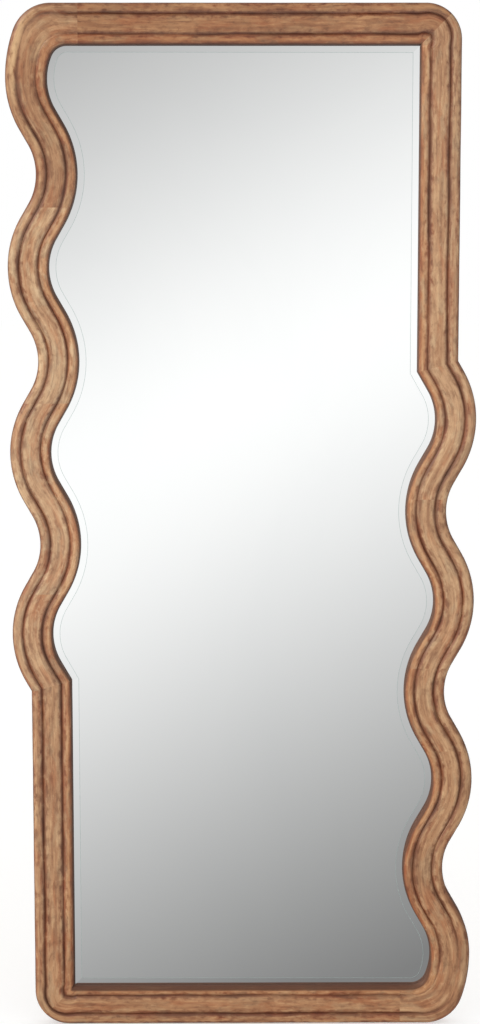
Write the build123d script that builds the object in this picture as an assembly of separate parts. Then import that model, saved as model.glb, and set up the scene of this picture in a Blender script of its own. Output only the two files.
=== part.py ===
from build123d import *
import math
import os

# A tall wall mirror in a carved hardwood frame, in millimetres.
# +X is to the right and +Z up for someone who looks into the glass, and the front faces -Y.
# The origin is under the middle of the bottom edge, half way through the depth.
# The frame has half-turn symmetry: the right side is the left side, turned half a turn.
# Places on the front are given from its top left corner: "across" to the right, "down" from the top.
# That corner is the origin until each part is placed, so a change of size moves no cut in the wave.
# In a section, s runs across the rail, towards the glass, and w from the back to the front.

# Outline
frame_height = 1780.0
straight_width = 740.0
frame_depth = 32.0
rail_width = 70.0

# Wavy stretch of a stile
first_bulge = 126.0
half_wave = 158.5
bulge_count = 4
wave_height = 50.0
wave_shift = 7.0
wave_slope = 30.0

# Wavy corner block, where the stile runs into the rail
corner_reach = 92.0
corner_round = 68.0
shoulder_radius = 240.0
corner_inner_round = 28.0
outer_groove_reach = 34.0

# Mitred corner
mitre_round = 61.0

# Moulding
outer_edge_round = 10.0
lip_round = 7.0
back_ease = 2.0
outer_band = 19.5
inner_band = 17.0
groove_width = 11.0
groove_depth = 4.0
groove_runout = 30.0

# Glass in its pocket behind the lip
lip_depth = 12.0
glass_thickness = 5.0
glass_overlap = 8.0
bevel_width = 20.5
bevel_drop = 1.4
seat_clearance = 0.3
setting_block_height = 2.0
setting_block_length = 60.0
setting_block_inset = 150.0

# Backing panel in its rebate, and the pads in front of it
panel_thickness = 3.0
panel_land = 14.0
panel_clearance = 1.0
pad_length = 120.0
pad_width = 40.0
pad_side_gap = 90.0
pad_rows = 4
pad_end_gap = 200.0

# Joints in the wood, counted in half waves from the first bulge
left_joints = (1.36, 3.46, 5.55)
right_joints = (2.33, 3.26, 5.13)
dowel_diameter = 8.0
dowel_length = 40.0
dowel_spacing = 23.0
dowel_shift = 3.5
dowel_height = 12.0
glue_clearance = 0.1
dowel_end_gap = 1.0
spline_length = 40.0
spline_width = 30.0
spline_thickness = 4.0
spline_inset = 41.0

# Wood screws
screw_diameter = 3.5
screw_head_diameter = 7.0
screw_head_height = 2.2
screw_tip_length = 4.0
thread_clearance = 0.05
panel_screw_length = 16.0
panel_screw_inset = 17.0
stile_screws = 2
rail_screws = 3
hanger_screw_length = 20.0

# Hangers, at a turn of the wave
hanger_turn = 1
hanger_shift = 13.0
strap_width = 16.0
strap_length = 50.0
strap_thickness = 1.5
strap_end_round = 7.5
strap_screw_drops = (18.0, 38.0)
ring_wire = 4.0
ring_width = 26.0
ring_side = 12.0
ring_corner_round = 4.0
ring_clearance = 0.08
ring_rest_tilt = 3.0

# Wall bumpers
bumper_diameter = 18.0
bumper_height = 8.0
bumper_round = 2.0
bumper_shift = 12.0

# How far a cutter runs past the wood, and how much further than the surface a rising one turns
spare = 5.0
over_turn = 1.2

# Two places nearer than this are one place
same_place = 1e-3

# Worked out from the sizes above
half_width = rail_width / 2
back_y = (frame_depth - bumper_height) / 2
slope = math.radians(wave_slope)
bulge_across = half_width - wave_shift - wave_height / 2
wave_radius = (half_wave * math.tan(slope) - wave_height) / (1 / math.cos(slope) - 1) / 2
turn_count = 2 * bulge_count - 1
last_leg_rise = wave_shift + wave_height / 2 - wave_radius * (1 - math.cos(slope))
junction_down = (first_bulge + (turn_count - 1) * half_wave + wave_radius * math.sin(slope)
                 + last_leg_rise / math.tan(slope))
outer_groove = -half_width + outer_band
inner_groove = half_width - inner_band
pocket_offset = glass_overlap + setting_block_height
rebate_offset = pocket_offset + panel_land
lip_back = frame_depth - lip_depth
bevel_at_lip = bevel_drop * (bevel_width - glass_overlap) / bevel_width
glass_front = lip_back - seat_clearance + bevel_at_lip
glass_back = glass_front - glass_thickness
knuckle_bore = ring_wire / 2 + ring_clearance
knuckle_outer = knuckle_bore + strap_thickness
hanger_drop = first_bulge + hanger_turn * half_wave


def spot(across, down):
    """A place on the front, as (x, z), while the origin is still in the top left corner."""
    return (across, -down)


def flat(w):
    """The plane parallel to the wall, w in front of the frame's back."""
    return Plane(origin=(0, back_y - w, 0), x_dir=(1, 0, 0), z_dir=(0, -1, 0))


def section_plane(across, down, heading):
    """The plane of a section at a place on the front, for a rail that heads along (x, z)."""
    x, z = spot(across, down)
    hx, hz = heading
    return Plane(origin=(x, back_y, z), x_dir=(-hz, 0, hx), z_dir=(hx, 0, hz))


def half_turn(shape):
    """The shape's twin on the other side of the frame."""
    return shape.rotate(Axis((straight_width / 2, 0, -frame_height / 2), (0, 1, 0)), 180)


def arc(centre, radius, start, end):
    """An arc on the front, between two angles counted from across towards down."""
    angles = [math.radians(a) for a in (start, (start + end) / 2, end)]
    points = [spot(centre[0] + radius * math.cos(a), centre[1] + radius * math.sin(a)) for a in angles]
    return ThreePointArc(*points)


def linked(items):
    """Edges and points in order, with a straight line across each gap."""
    edges = []
    end = None
    for item in items:
        is_edge = isinstance(item, Edge)
        start = item @ 0 if is_edge else Vector(*item)
        if end is not None and (start - end).length > same_place:
            edges.append(Line(end, start))
        if is_edge:
            edges.append(item)
        end = item @ 1 if is_edge else start
    return edges


def turn_centre(turn):
    """The centre of one turn of the wave's middle line, the first bulge being turn 0."""
    down = first_bulge + turn * half_wave
    if turn % 2:
        return (bulge_across + wave_height - wave_radius, down)
    return (bulge_across + wave_radius, down)


def turn_arc(turn, offset, start=None):
    """One turn of the line that runs beside the wave's middle, offset towards the glass."""
    if turn % 2:
        return arc(turn_centre(turn), wave_radius + offset, -wave_slope, wave_slope)
    first = 180 + wave_slope if start is None else start
    return arc(turn_centre(turn), wave_radius - offset, first, 180 - wave_slope)


def wave_across(down):
    """Where the wave's middle line is, at a distance down from the top."""
    turn, rest = divmod(down - first_bulge, half_wave)
    bend = wave_radius * math.sin(slope)
    if rest < bend:
        rise = wave_radius - math.sqrt(wave_radius ** 2 - rest ** 2)
    elif rest > half_wave - bend:
        rise = wave_height - wave_radius + math.sqrt(wave_radius ** 2 - (half_wave - rest) ** 2)
    else:
        rise = wave_radius * (1 - math.cos(slope)) + (rest - bend) * math.tan(slope)
    if turn % 2:
        rise = wave_height - rise
    return bulge_across + rise


def junction(offset):
    """The point of the bend between the wave and the straight stile, offset towards the glass."""
    return (half_width + offset, junction_down - offset * math.tan(slope / 2))


def inner_corner(offset):
    """The rounded inner corner of the corner block, out to the first bulge's arc, and that arc's start."""
    bulge = turn_centre(0)
    reach = wave_radius - half_width - corner_inner_round
    drop = bulge[1] - rail_width - corner_inner_round
    centre = (bulge[0] - math.sqrt(reach ** 2 - drop ** 2), rail_width + corner_inner_round)
    meet = 180 + math.degrees(math.asin(drop / reach))
    return arc(centre, corner_inner_round + half_width - offset, 270, meet), meet


def sight_outline(growth):
    """The face inside the sight edge, grown into the wood all round."""
    offset = half_width - growth
    rail = half_width + offset
    corner, meet = inner_corner(offset)
    side = [spot(straight_width - rail, rail), corner, turn_arc(0, offset, meet)]
    side += [turn_arc(turn, offset) for turn in range(1, turn_count)]
    side += [spot(*junction(offset)), spot(rail, frame_height - rail)]
    edges = linked(side)
    middle = (*spot(straight_width / 2, frame_height / 2), 0)
    twins = [edge.rotate(Axis(middle, (0, 0, 1)), 180) for edge in edges]
    return make_face(edges + twins)


def corner_outline():
    """The outer edge of the corner block, from the rail to the first bulge."""
    shoulder = (bulge_across - half_width + shoulder_radius, first_bulge)
    reach = shoulder_radius - corner_round
    drop = first_bulge - corner_round
    centre = (shoulder[0] - math.sqrt(reach ** 2 - drop ** 2), corner_round)
    meet = 180 + math.degrees(math.asin(drop / reach))
    return [arc(centre, corner_round, 270, meet), arc(shoulder, shoulder_radius, meet, 180)]


def round_over(edge, radius, side):
    """What a rounding cutter takes off a front edge. side is 1 where the wood lies on its +s side."""
    low = frame_depth - radius
    middle = radius * (1 - math.sqrt(0.5))
    curve = ThreePointArc((edge + side * radius, frame_depth), (edge + side * middle, frame_depth - middle),
                          (edge, low))
    out = edge - side * spare
    top = frame_depth + spare
    return make_face(linked([curve, (out, low), (out, top), (edge + side * radius, top),
                             (edge + side * radius, frame_depth)]))


def back_chamfer(edge):
    """What is eased off the back's outer edge."""
    return make_face(Polyline((edge + back_ease, 0), (edge, back_ease), (edge - spare, back_ease),
                              (edge - spare, -spare), (edge + back_ease, -spare), close=True))


def groove_section(s):
    """A carved groove: two rounded shoulders that meet in a sharp bottom."""
    near, far = s - groove_width / 2, s + groove_width / 2
    bottom = (s, frame_depth - groove_depth)
    right = TangentArc((far, frame_depth), bottom, tangent=(-1, 0))
    left = TangentArc((near, frame_depth), bottom, tangent=(1, 0))
    top = frame_depth + spare
    rim = Polyline((near, frame_depth), (near, top), (far, top), (far, frame_depth))
    return make_face([right, left] + rim.edges())


def rebate_section(edge):
    """The glass pocket and the panel's rebate behind the lip that ends at s = edge."""
    pocket, rebate, out = edge - pocket_offset, edge - rebate_offset, edge + spare
    return make_face(Polyline((out, -spare), (rebate, -spare), (rebate, panel_thickness),
                              (pocket, panel_thickness), (pocket, lip_back), (out, lip_back), close=True))


def rail_section():
    """The moulding's section: three bands, both front edges rounded, the back eased and rebated."""
    stock = Pos(0, frame_depth / 2) * Rectangle(rail_width, frame_depth)
    stock -= round_over(-half_width, outer_edge_round, 1)
    stock -= round_over(half_width, lip_round, -1)
    stock -= back_chamfer(-half_width)
    stock -= rebate_section(half_width)
    for s in (outer_groove, inner_groove):
        stock -= groove_section(s)
    return stock


def groove_end(s, length, sense):
    """A groove that goes on for a length and then rises out of the wood, along sense times the heading."""
    cutter_radius = (groove_runout ** 2 + groove_depth ** 2) / (2 * groove_depth)
    rise = math.degrees(math.asin(groove_runout / cutter_radius))
    axis = Axis((0, frame_depth - groove_depth + cutter_radius, 0), (-sense, 0, 0))
    end = Pos(0, 0, sense * length) * revolve(groove_section(s), axis, rise * over_turn)
    if length == 0:
        return end
    return end + extrude(groove_section(s), sense * length)


def corner_blank():
    """The plain corner of the corner block, down to the first bulge, with the grooves' ends in it."""
    outer = corner_outline()
    lip, meet = inner_corner(half_width)
    bulge = arc(turn_centre(0), wave_radius - half_width, meet, 180)
    outer_side = linked([spot(corner_reach, 0)] + outer)
    inner_side = linked([spot(corner_reach, rail_width), lip, bulge])
    ends = [Line(outer_side[0] @ 0, inner_side[0] @ 0), Line(outer_side[-1] @ 1, inner_side[-1] @ 1)]
    face = make_face(outer_side + inner_side + ends)
    block = extrude(flat(0) * face, frame_depth)

    outer_path = flat(0) * Wire(linked([spot(corner_reach + spare, 0)] + outer))
    inner_path = flat(0) * Wire(linked([spot(corner_reach + spare, rail_width), lip, bulge]))
    at_outer = section_plane(corner_reach + spare, 0, (-1, 0))
    at_inner = section_plane(corner_reach + spare, rail_width, (-1, 0))
    block -= sweep(at_outer * round_over(0, outer_edge_round, 1), path=outer_path)
    block -= sweep(at_outer * back_chamfer(0), path=outer_path)
    block -= sweep(at_inner * round_over(0, lip_round, -1), path=inner_path)
    block -= sweep(at_inner * rebate_section(0), path=inner_path)

    from_rail = section_plane(corner_reach, half_width, (-1, 0))
    from_wave = section_plane(bulge_across, first_bulge, (0, -1))
    block -= from_rail * groove_end(outer_groove, outer_groove_reach, 1)
    block -= from_rail * groove_end(inner_groove, 0, 1)
    for s in (outer_groove, inner_groove):
        block -= from_wave * groove_end(s, 0, -1)
    return block


def junction_plane():
    """The mitre between the wave and the straight stile, facing down the stile."""
    x, z = spot(*junction(0))
    normal = (math.sin(slope / 2), 0, -math.cos(slope / 2))
    return Plane(origin=(x, back_y, z), x_dir=(math.cos(slope / 2), 0, math.sin(slope / 2)), z_dir=normal)


def mitre_plane():
    """The 45 degree mitre of the bottom left corner, facing the bottom rail."""
    x, z = spot(0, frame_height)
    return Plane(origin=(x, back_y, z), x_dir=(0, -1, 0), z_dir=(1, 0, -1))


def wave_blank():
    """The corner block and the whole wave below it, down to the bend."""
    turns = [turn_arc(0, 0, 180)] + [turn_arc(turn, 0) for turn in range(1, turn_count)]
    past = junction(0)
    beyond = (past[0] + rail_width * math.sin(slope), past[1] + rail_width * math.cos(slope))
    path = flat(0) * Wire(linked(turns + [spot(*beyond)]))
    moulding = sweep(section_plane(bulge_across, first_bulge, (0, -1)) * rail_section(), path=path)
    return corner_blank() + split(moulding, junction_plane(), keep=Keep.BOTTOM)


def mitre_corner_trim():
    """What rounds the bottom left corner and its front edge."""
    x, z = spot(mitre_round, frame_height - mitre_round)
    heel = spot(0, frame_height)
    out = spot(-spare, frame_height + spare)
    curve = arc((mitre_round, frame_height - mitre_round), mitre_round, 180, 90)
    face = make_face(linked([curve, (x, out[1]), out, (out[0], z), (heel[0], z)]))
    trim = extrude(flat(-spare) * face, frame_depth + 2 * spare)
    heading = section_plane(0, frame_height - mitre_round, (0, -1))
    axis = Axis((x, 0, z), (0, -1, 0))
    for section in (round_over(0, outer_edge_round, 1), back_chamfer(0)):
        trim += revolve(heading * section, axis, 90)
    return trim


def straight_blanks():
    """The left stile below its bend and the bottom rail, mitred together."""
    trim = mitre_corner_trim()
    stile_start = junction_down - rail_width
    stile_end = section_plane(half_width, stile_start, (0, -1))
    stile = extrude(stile_end * rail_section(), frame_height - stile_start)
    stile = split(stile, junction_plane(), keep=Keep.TOP)
    stile = split(stile, mitre_plane(), keep=Keep.BOTTOM) - trim
    rail = extrude(section_plane(0, frame_height - half_width, (1, 0)) * rail_section(),
                   straight_width - corner_reach)
    rail = split(rail, mitre_plane(), keep=Keep.TOP) - trim
    return stile, rail


def joint_drops(joints):
    """How far down each joint between two blocks of the wave is."""
    return [first_bulge + place * half_wave for place in joints]


def cut_into_blocks(wave, joints):
    """The wave sawn square across at each joint, from the top down."""
    blocks = []
    for down in joint_drops(joints):
        saw = Plane(origin=(0, 0, spot(0, down)[1]), z_dir=(0, 0, 1))
        blocks.append(split(wave, saw, keep=Keep.TOP))
        wave = split(wave, saw, keep=Keep.BOTTOM)
    return blocks + [wave]


def joint_planes(joints):
    """Each doweled joint of a wavy side: at the rail, between the blocks and at the bend."""
    planes = [section_plane(corner_reach, half_width, (-1, 0))]
    planes += [section_plane(wave_across(down), down, (0, -1)) for down in joint_drops(joints)]
    return planes + [junction_plane()]


def dowel_pair(plane, growth):
    """Two dowels across a joint, or their holes where growth is not 0."""
    radius = dowel_diameter / 2 + growth
    length = dowel_length + (2 * dowel_end_gap if growth else 0)
    places = [-dowel_shift - dowel_spacing / 2, -dowel_shift + dowel_spacing / 2]
    return [plane * Pos(s, dowel_height, 0) * Cylinder(radius, length) for s in places]


def mitre_spline(growth):
    """The loose tongue in the bottom left mitre, or its slot where growth is not 0."""
    x, z = spot(spline_inset, frame_height - spline_inset)
    place = Pos(x, back_y - dowel_height, z) * Rot(0, 45, 0)
    return place * Box(spline_width + 2 * growth, spline_thickness + 2 * growth, spline_length + 2 * growth)


def screw(length, growth=0):
    """A countersunk wood screw along +Z from its head's face, or its hole where growth is not 0."""
    head, shank = screw_head_diameter / 2 + growth, screw_diameter / 2 + growth
    tip = length - screw_tip_length
    shape = make_face(Polyline((0, 0), (head, 0), (shank, screw_head_height), (shank, tip),
                               (0, length + growth), close=True))
    return revolve(Plane.XZ * shape, Axis.Z, 360)


def driven_in(item, x, depth, z):
    """The item's place when it goes into the back at (x, z), its head's face at depth inside the back."""
    return Plane(origin=(x, back_y - depth, z), z_dir=(0, -1, 0)) * item


def panel_screw_places():
    """Where the panel is screwed down, as (x, z), on the left and bottom of the frame."""
    edge = half_width - panel_screw_inset
    wave = [spot(bulge_across + edge, first_bulge + 2 * k * half_wave) for k in range(bulge_count)]
    stile_length = frame_height - rail_width - junction_down
    stile_step = stile_length / stile_screws
    stile = [spot(half_width + edge, junction_down + (k + 0.5) * stile_step) for k in range(stile_screws)]
    rail_step = (straight_width - 2 * rail_width) / rail_screws
    rail = [spot(rail_width + (k + 0.5) * rail_step, frame_height - half_width - edge)
            for k in range(rail_screws)]
    return wave + stile + rail


def panel_screws(growth=0):
    """All the panel's screws, or their holes."""
    placed = [driven_in(screw(panel_screw_length, growth), x, 0, z) for x, z in panel_screw_places()]
    return placed + [half_turn(item) for item in placed]


def hanger_places():
    """The middle of each ring's bar, as (x, z): on the left wave and on the right straight stile."""
    left = spot(wave_across(hanger_drop) - hanger_shift, hanger_drop)
    right = spot(straight_width - half_width + hanger_shift, hanger_drop)
    return left, right


def hanger_strap(x, z):
    """A steel strap with a rolled knuckle, flat on the back."""
    knuckle_y = back_y + knuckle_outer
    side = Pos(knuckle_y, z) * Circle(knuckle_outer)
    plate = Rectangle(strap_thickness, strap_length)
    side += Pos(back_y + strap_thickness / 2, z - strap_length / 2) * plate
    side -= Pos(knuckle_y, z) * Circle(knuckle_bore)
    profile = Plane(origin=(x - strap_width / 2, 0, 0), x_dir=(0, 1, 0), z_dir=(1, 0, 0)) * side
    strap = extrude(profile, strap_width)
    foot = strap.edges().filter_by(Axis.Y).group_by(Axis.Z)[0]
    strap = fillet(foot, strap_end_round)
    for hole in hanger_screw_set(x, z, thread_clearance):
        strap -= hole
    return strap


def hanger_screw_set(x, z, growth=0):
    """The screws of one strap, or their holes."""
    return [driven_in(screw(hanger_screw_length, growth), x, -strap_thickness, z - drop)
            for drop in strap_screw_drops]


def hanger_ring(x, z):
    """A D ring bent from round wire, hanging from the knuckle and tilted off the strap."""
    wide, bend = ring_width / 2, ring_corner_round
    ease = bend * (1 - math.sqrt(0.5))
    right = ThreePointArc((wide - bend, 0), (wide - ease, -ease), (wide, -bend))
    bow = ThreePointArc((wide, -ring_side), (0, -ring_side - wide), (-wide, -ring_side))
    left = ThreePointArc((-wide, -bend), (-wide + ease, -ease), (-wide + bend, 0))
    path = Wire(linked([(0, 0), right, bow, left, (0, 0)]))
    wire = sweep(Plane(origin=(0, 0, 0), z_dir=(1, 0, 0)) * Circle(ring_wire / 2), path=path)
    upright = Plane(origin=(0, 0, 0), x_dir=(1, 0, 0), z_dir=(0, -1, 0)) * wire
    tilted = upright.rotate(Axis.X, ring_rest_tilt)
    return Pos(x, back_y + knuckle_outer, z) * tilted


def wall_bumpers():
    """A rubber bumper near each corner of the back."""
    bumper = Plane(origin=(0, back_y, 0), z_dir=(0, 1, 0)) * Pos(0, 0, bumper_height / 2) * Cylinder(
        bumper_diameter / 2, bumper_height)
    bumper = fillet(bumper.edges().sort_by(Axis.Y)[-1], bumper_round)
    left = spot(bulge_across - bumper_shift, first_bulge)
    right = spot(straight_width - half_width + bumper_shift, first_bulge)
    placed = [Pos(x, 0, z) * bumper for x, z in (left, right)]
    return placed + [half_turn(item) for item in placed]


def mirror_glass():
    """The glass, with its front edge ground to a shallow bevel."""
    edge_height = glass_back + glass_thickness - bevel_drop
    slab = extrude(flat(glass_back) * sight_outline(glass_overlap), edge_height - glass_back)
    foot = (flat(edge_height) * sight_outline(glass_overlap)).wire()
    top = (flat(glass_front) * sight_outline(glass_overlap - bevel_width)).wire()
    return slab + Part(Solid.make_loft([foot, top], ruled=True).wrapped)


def setting_blocks():
    """Two rubber blocks that the glass stands on."""
    down = frame_height - rail_width + glass_overlap + setting_block_height / 2
    depth = lip_back - glass_back
    y = back_y - glass_back - depth / 2
    block = Box(setting_block_length, depth, setting_block_height)
    places = [spot(across, down) for across in (setting_block_inset, straight_width - setting_block_inset)]
    return [Pos(x, y, z) * block for x, z in places]


def filler_pads():
    """Foam pads between the panel and the glass, in two columns."""
    depth = glass_back - panel_thickness
    y = back_y - panel_thickness - depth / 2
    inset = rail_width + pad_side_gap
    first, last = rail_width + pad_end_gap, frame_height - rail_width - pad_end_gap
    step = (last - first) / (pad_rows - 1)
    pad = Box(pad_width, depth, pad_length)
    places = [spot(across, first + row * step) for across in (inset, straight_width - inset)
              for row in range(pad_rows)]
    return [Pos(x, y, z) * pad for x, z in places]


def backing_panel():
    """The thin panel, cut to the rebate and countersunk for its screws."""
    panel = extrude(flat(0) * sight_outline(rebate_offset - panel_clearance), panel_thickness)
    for hole in panel_screws(thread_clearance):
        panel -= hole
    return panel


def all_cuts():
    """Every slot and hole in the wood."""
    cuts = [mitre_spline(glue_clearance), half_turn(mitre_spline(glue_clearance))]
    for plane in joint_planes(left_joints):
        cuts += dowel_pair(plane, glue_clearance)
    for plane in joint_planes(right_joints):
        cuts += [half_turn(hole) for hole in dowel_pair(plane, glue_clearance)]
    cuts += panel_screws(thread_clearance)
    for x, z in hanger_places():
        cuts += hanger_screw_set(x, z, thread_clearance)
    return cuts


def wooden_parts():
    """The twelve pieces of wood, by node name, each with what is cut into it."""
    wave = wave_blank()
    stile, rail = straight_blanks()
    blanks = {"left_stile": stile, "bottom_rail": rail,
              "right_stile": half_turn(stile), "top_rail": half_turn(rail)}
    names = ["corner_block", "wave_block_2", "wave_block_3", "wave_block_4"]
    for name, block in zip(names, cut_into_blocks(wave, left_joints)):
        blanks[f"left_{name}"] = block
    for name, block in zip(names, cut_into_blocks(wave, right_joints)):
        blanks[f"right_{name}"] = half_turn(block)
    cuts = all_cuts()
    parts = {}
    for name, blank in blanks.items():
        bounds = blank.bounding_box()
        near = [cut for cut in cuts if bounds.overlaps(cut.bounding_box())]
        for cut in near:
            blank -= cut
        parts[name] = blank
    return parts


def all_parts():
    """Every node and its solids."""
    parts = wooden_parts()
    parts["left_dowels"] = [dowel for plane in joint_planes(left_joints) for dowel in dowel_pair(plane, 0)]
    parts["right_dowels"] = [half_turn(dowel) for plane in joint_planes(right_joints)
                             for dowel in dowel_pair(plane, 0)]
    parts["mitre_splines"] = [mitre_spline(0), half_turn(mitre_spline(0))]
    parts["mirror_glass"] = mirror_glass()
    parts["setting_blocks"] = setting_blocks()
    parts["filler_pads"] = filler_pads()
    parts["backing_panel"] = backing_panel()
    parts["panel_screws"] = panel_screws()
    parts["hanger_screws"] = []
    for side, (x, z) in zip(("left", "right"), hanger_places()):
        parts[f"{side}_hanger_strap"] = hanger_strap(x, z)
        parts[f"{side}_hanger_ring"] = hanger_ring(x, z)
        parts["hanger_screws"] += hanger_screw_set(x, z)
    parts["wall_bumpers"] = wall_bumpers()
    return parts


# The origin goes under the middle of the bottom edge
home = Pos(-straight_width / 2, 0, frame_height)

os.makedirs("parts", exist_ok=True)
for node, shape in all_parts().items():
    solids = shape if isinstance(shape, list) else [shape]
    placed = [home * solid for solid in solids]
    whole = Compound(children=placed) if isinstance(shape, list) else placed[0]
    export_step(whole, f"parts/{node}.step")
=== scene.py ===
"""A tall wall mirror in a hand carved wooden frame, dressed over its fixed CAD frame.

Places on the front are (across, down) from the top left corner of the straight outline, in metres. In a
section of the moulding, s runs across the rail towards the glass and w from the wood's back to its front.
"""

import logging
import math
from dataclasses import dataclass, field
from enum import Enum
from typing import Callable, ClassVar, Iterable, Optional, Sequence, Union

import bmesh
import bpy
from mathutils import Matrix, Vector, noise


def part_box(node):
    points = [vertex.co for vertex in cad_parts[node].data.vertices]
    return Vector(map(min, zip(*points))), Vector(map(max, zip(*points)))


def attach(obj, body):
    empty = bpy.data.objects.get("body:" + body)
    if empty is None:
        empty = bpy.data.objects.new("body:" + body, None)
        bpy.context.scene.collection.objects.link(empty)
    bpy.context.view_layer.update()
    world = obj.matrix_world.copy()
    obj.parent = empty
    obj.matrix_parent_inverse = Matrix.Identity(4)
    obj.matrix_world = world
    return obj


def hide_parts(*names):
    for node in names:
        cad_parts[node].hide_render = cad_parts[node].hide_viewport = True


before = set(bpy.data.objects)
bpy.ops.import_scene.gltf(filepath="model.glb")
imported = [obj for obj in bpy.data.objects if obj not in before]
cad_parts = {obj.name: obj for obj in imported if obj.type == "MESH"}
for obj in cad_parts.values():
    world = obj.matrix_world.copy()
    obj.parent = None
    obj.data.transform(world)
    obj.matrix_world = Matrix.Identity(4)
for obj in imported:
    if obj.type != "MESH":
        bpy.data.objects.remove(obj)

LOG = logging.getLogger("wall_mirror")
PICTURE_SIZE = (480, 1024)
MM = 0.001
DISPLAY_LIFT = 0.055
DISPLAY_POWER = 2.4
DISPLAY_TOE = 0.04045
DISPLAY_TOE_SLOPE = 12.92
FULL_TURN = 2 * math.pi

Place = Vector
Edge = Callable[[float], Vector]
Colour = tuple[float, float, float]


def as_light(shown: "Feed") -> "Feed":
    """The light that gives a display tone above the curve's toe, for a number or a wire."""
    return ((shown + DISPLAY_LIFT) / (1 + DISPLAY_LIFT)) ** DISPLAY_POWER


def tint(red: int, green: int, blue: int) -> Colour:
    """A display colour, each part 0 to 255, as the linear colour that a shader takes."""
    def linear(part: int) -> float:
        """One part as light."""
        share = part / 255
        return share / DISPLAY_TOE_SLOPE if share <= DISPLAY_TOE else as_light(share)
    return (linear(red), linear(green), linear(blue))


class Side(Enum):
    """Which half of the frame a rail belongs to: the right half is the left one, turned half a turn."""

    LEFT = "left"
    RIGHT = "right"


# ------------------------------------------------------------------ materials


class Wire:
    """A value on its way through a material, whose arithmetic adds Math nodes."""

    def __init__(self, recipe: "Recipe", socket: bpy.types.NodeSocket) -> None:
        """Wraps one output socket.

        Args:
            recipe: the material that the socket is in.
            socket: the output that carries the value.
        """
        self.recipe = recipe
        self.socket = socket

    def _maths(self, operation: str, first: "Feed", second: "Feed") -> "Wire":
        """One Math node's result.

        Args:
            operation: the Math node's operation.
            first: its first value.
            second: its second value.

        Returns:
            The node's output.
        """
        node = self.recipe.node("ShaderNodeMath", {"operation": operation}, {0: first, 1: second})
        return Wire(self.recipe, node.outputs[0])

    def __add__(self, other: "Feed") -> "Wire":
        """This plus other."""
        return self._maths("ADD", self, other)

    def __radd__(self, other: "Feed") -> "Wire":
        """Other plus this."""
        return self._maths("ADD", other, self)

    def __sub__(self, other: "Feed") -> "Wire":
        """This less other."""
        return self._maths("SUBTRACT", self, other)

    def __rsub__(self, other: "Feed") -> "Wire":
        """Other less this."""
        return self._maths("SUBTRACT", other, self)

    def __mul__(self, other: "Feed") -> "Wire":
        """This times other."""
        return self._maths("MULTIPLY", self, other)

    def __rmul__(self, other: "Feed") -> "Wire":
        """Other times this."""
        return self._maths("MULTIPLY", other, self)

    def __truediv__(self, other: "Feed") -> "Wire":
        """This divided by other."""
        return self._maths("DIVIDE", self, other)

    def __pow__(self, other: "Feed") -> "Wire":
        """This to the power of other."""
        return self._maths("POWER", self, other)

    def band(self, low: float, high: float) -> "Wire":
        """How far this has come from low to high, smoothed and kept between 0 and 1.

        Args:
            low: the value that gives 0.
            high: the value that gives 1.

        Returns:
            The share.
        """
        node = self.recipe.node("ShaderNodeMapRange", {"interpolation_type": "SMOOTHSTEP"},
                                {"Value": self, "From Min": low, "From Max": high})
        return Wire(self.recipe, node.outputs["Result"])


Feed = Union[Wire, float, Sequence[float]]


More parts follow.
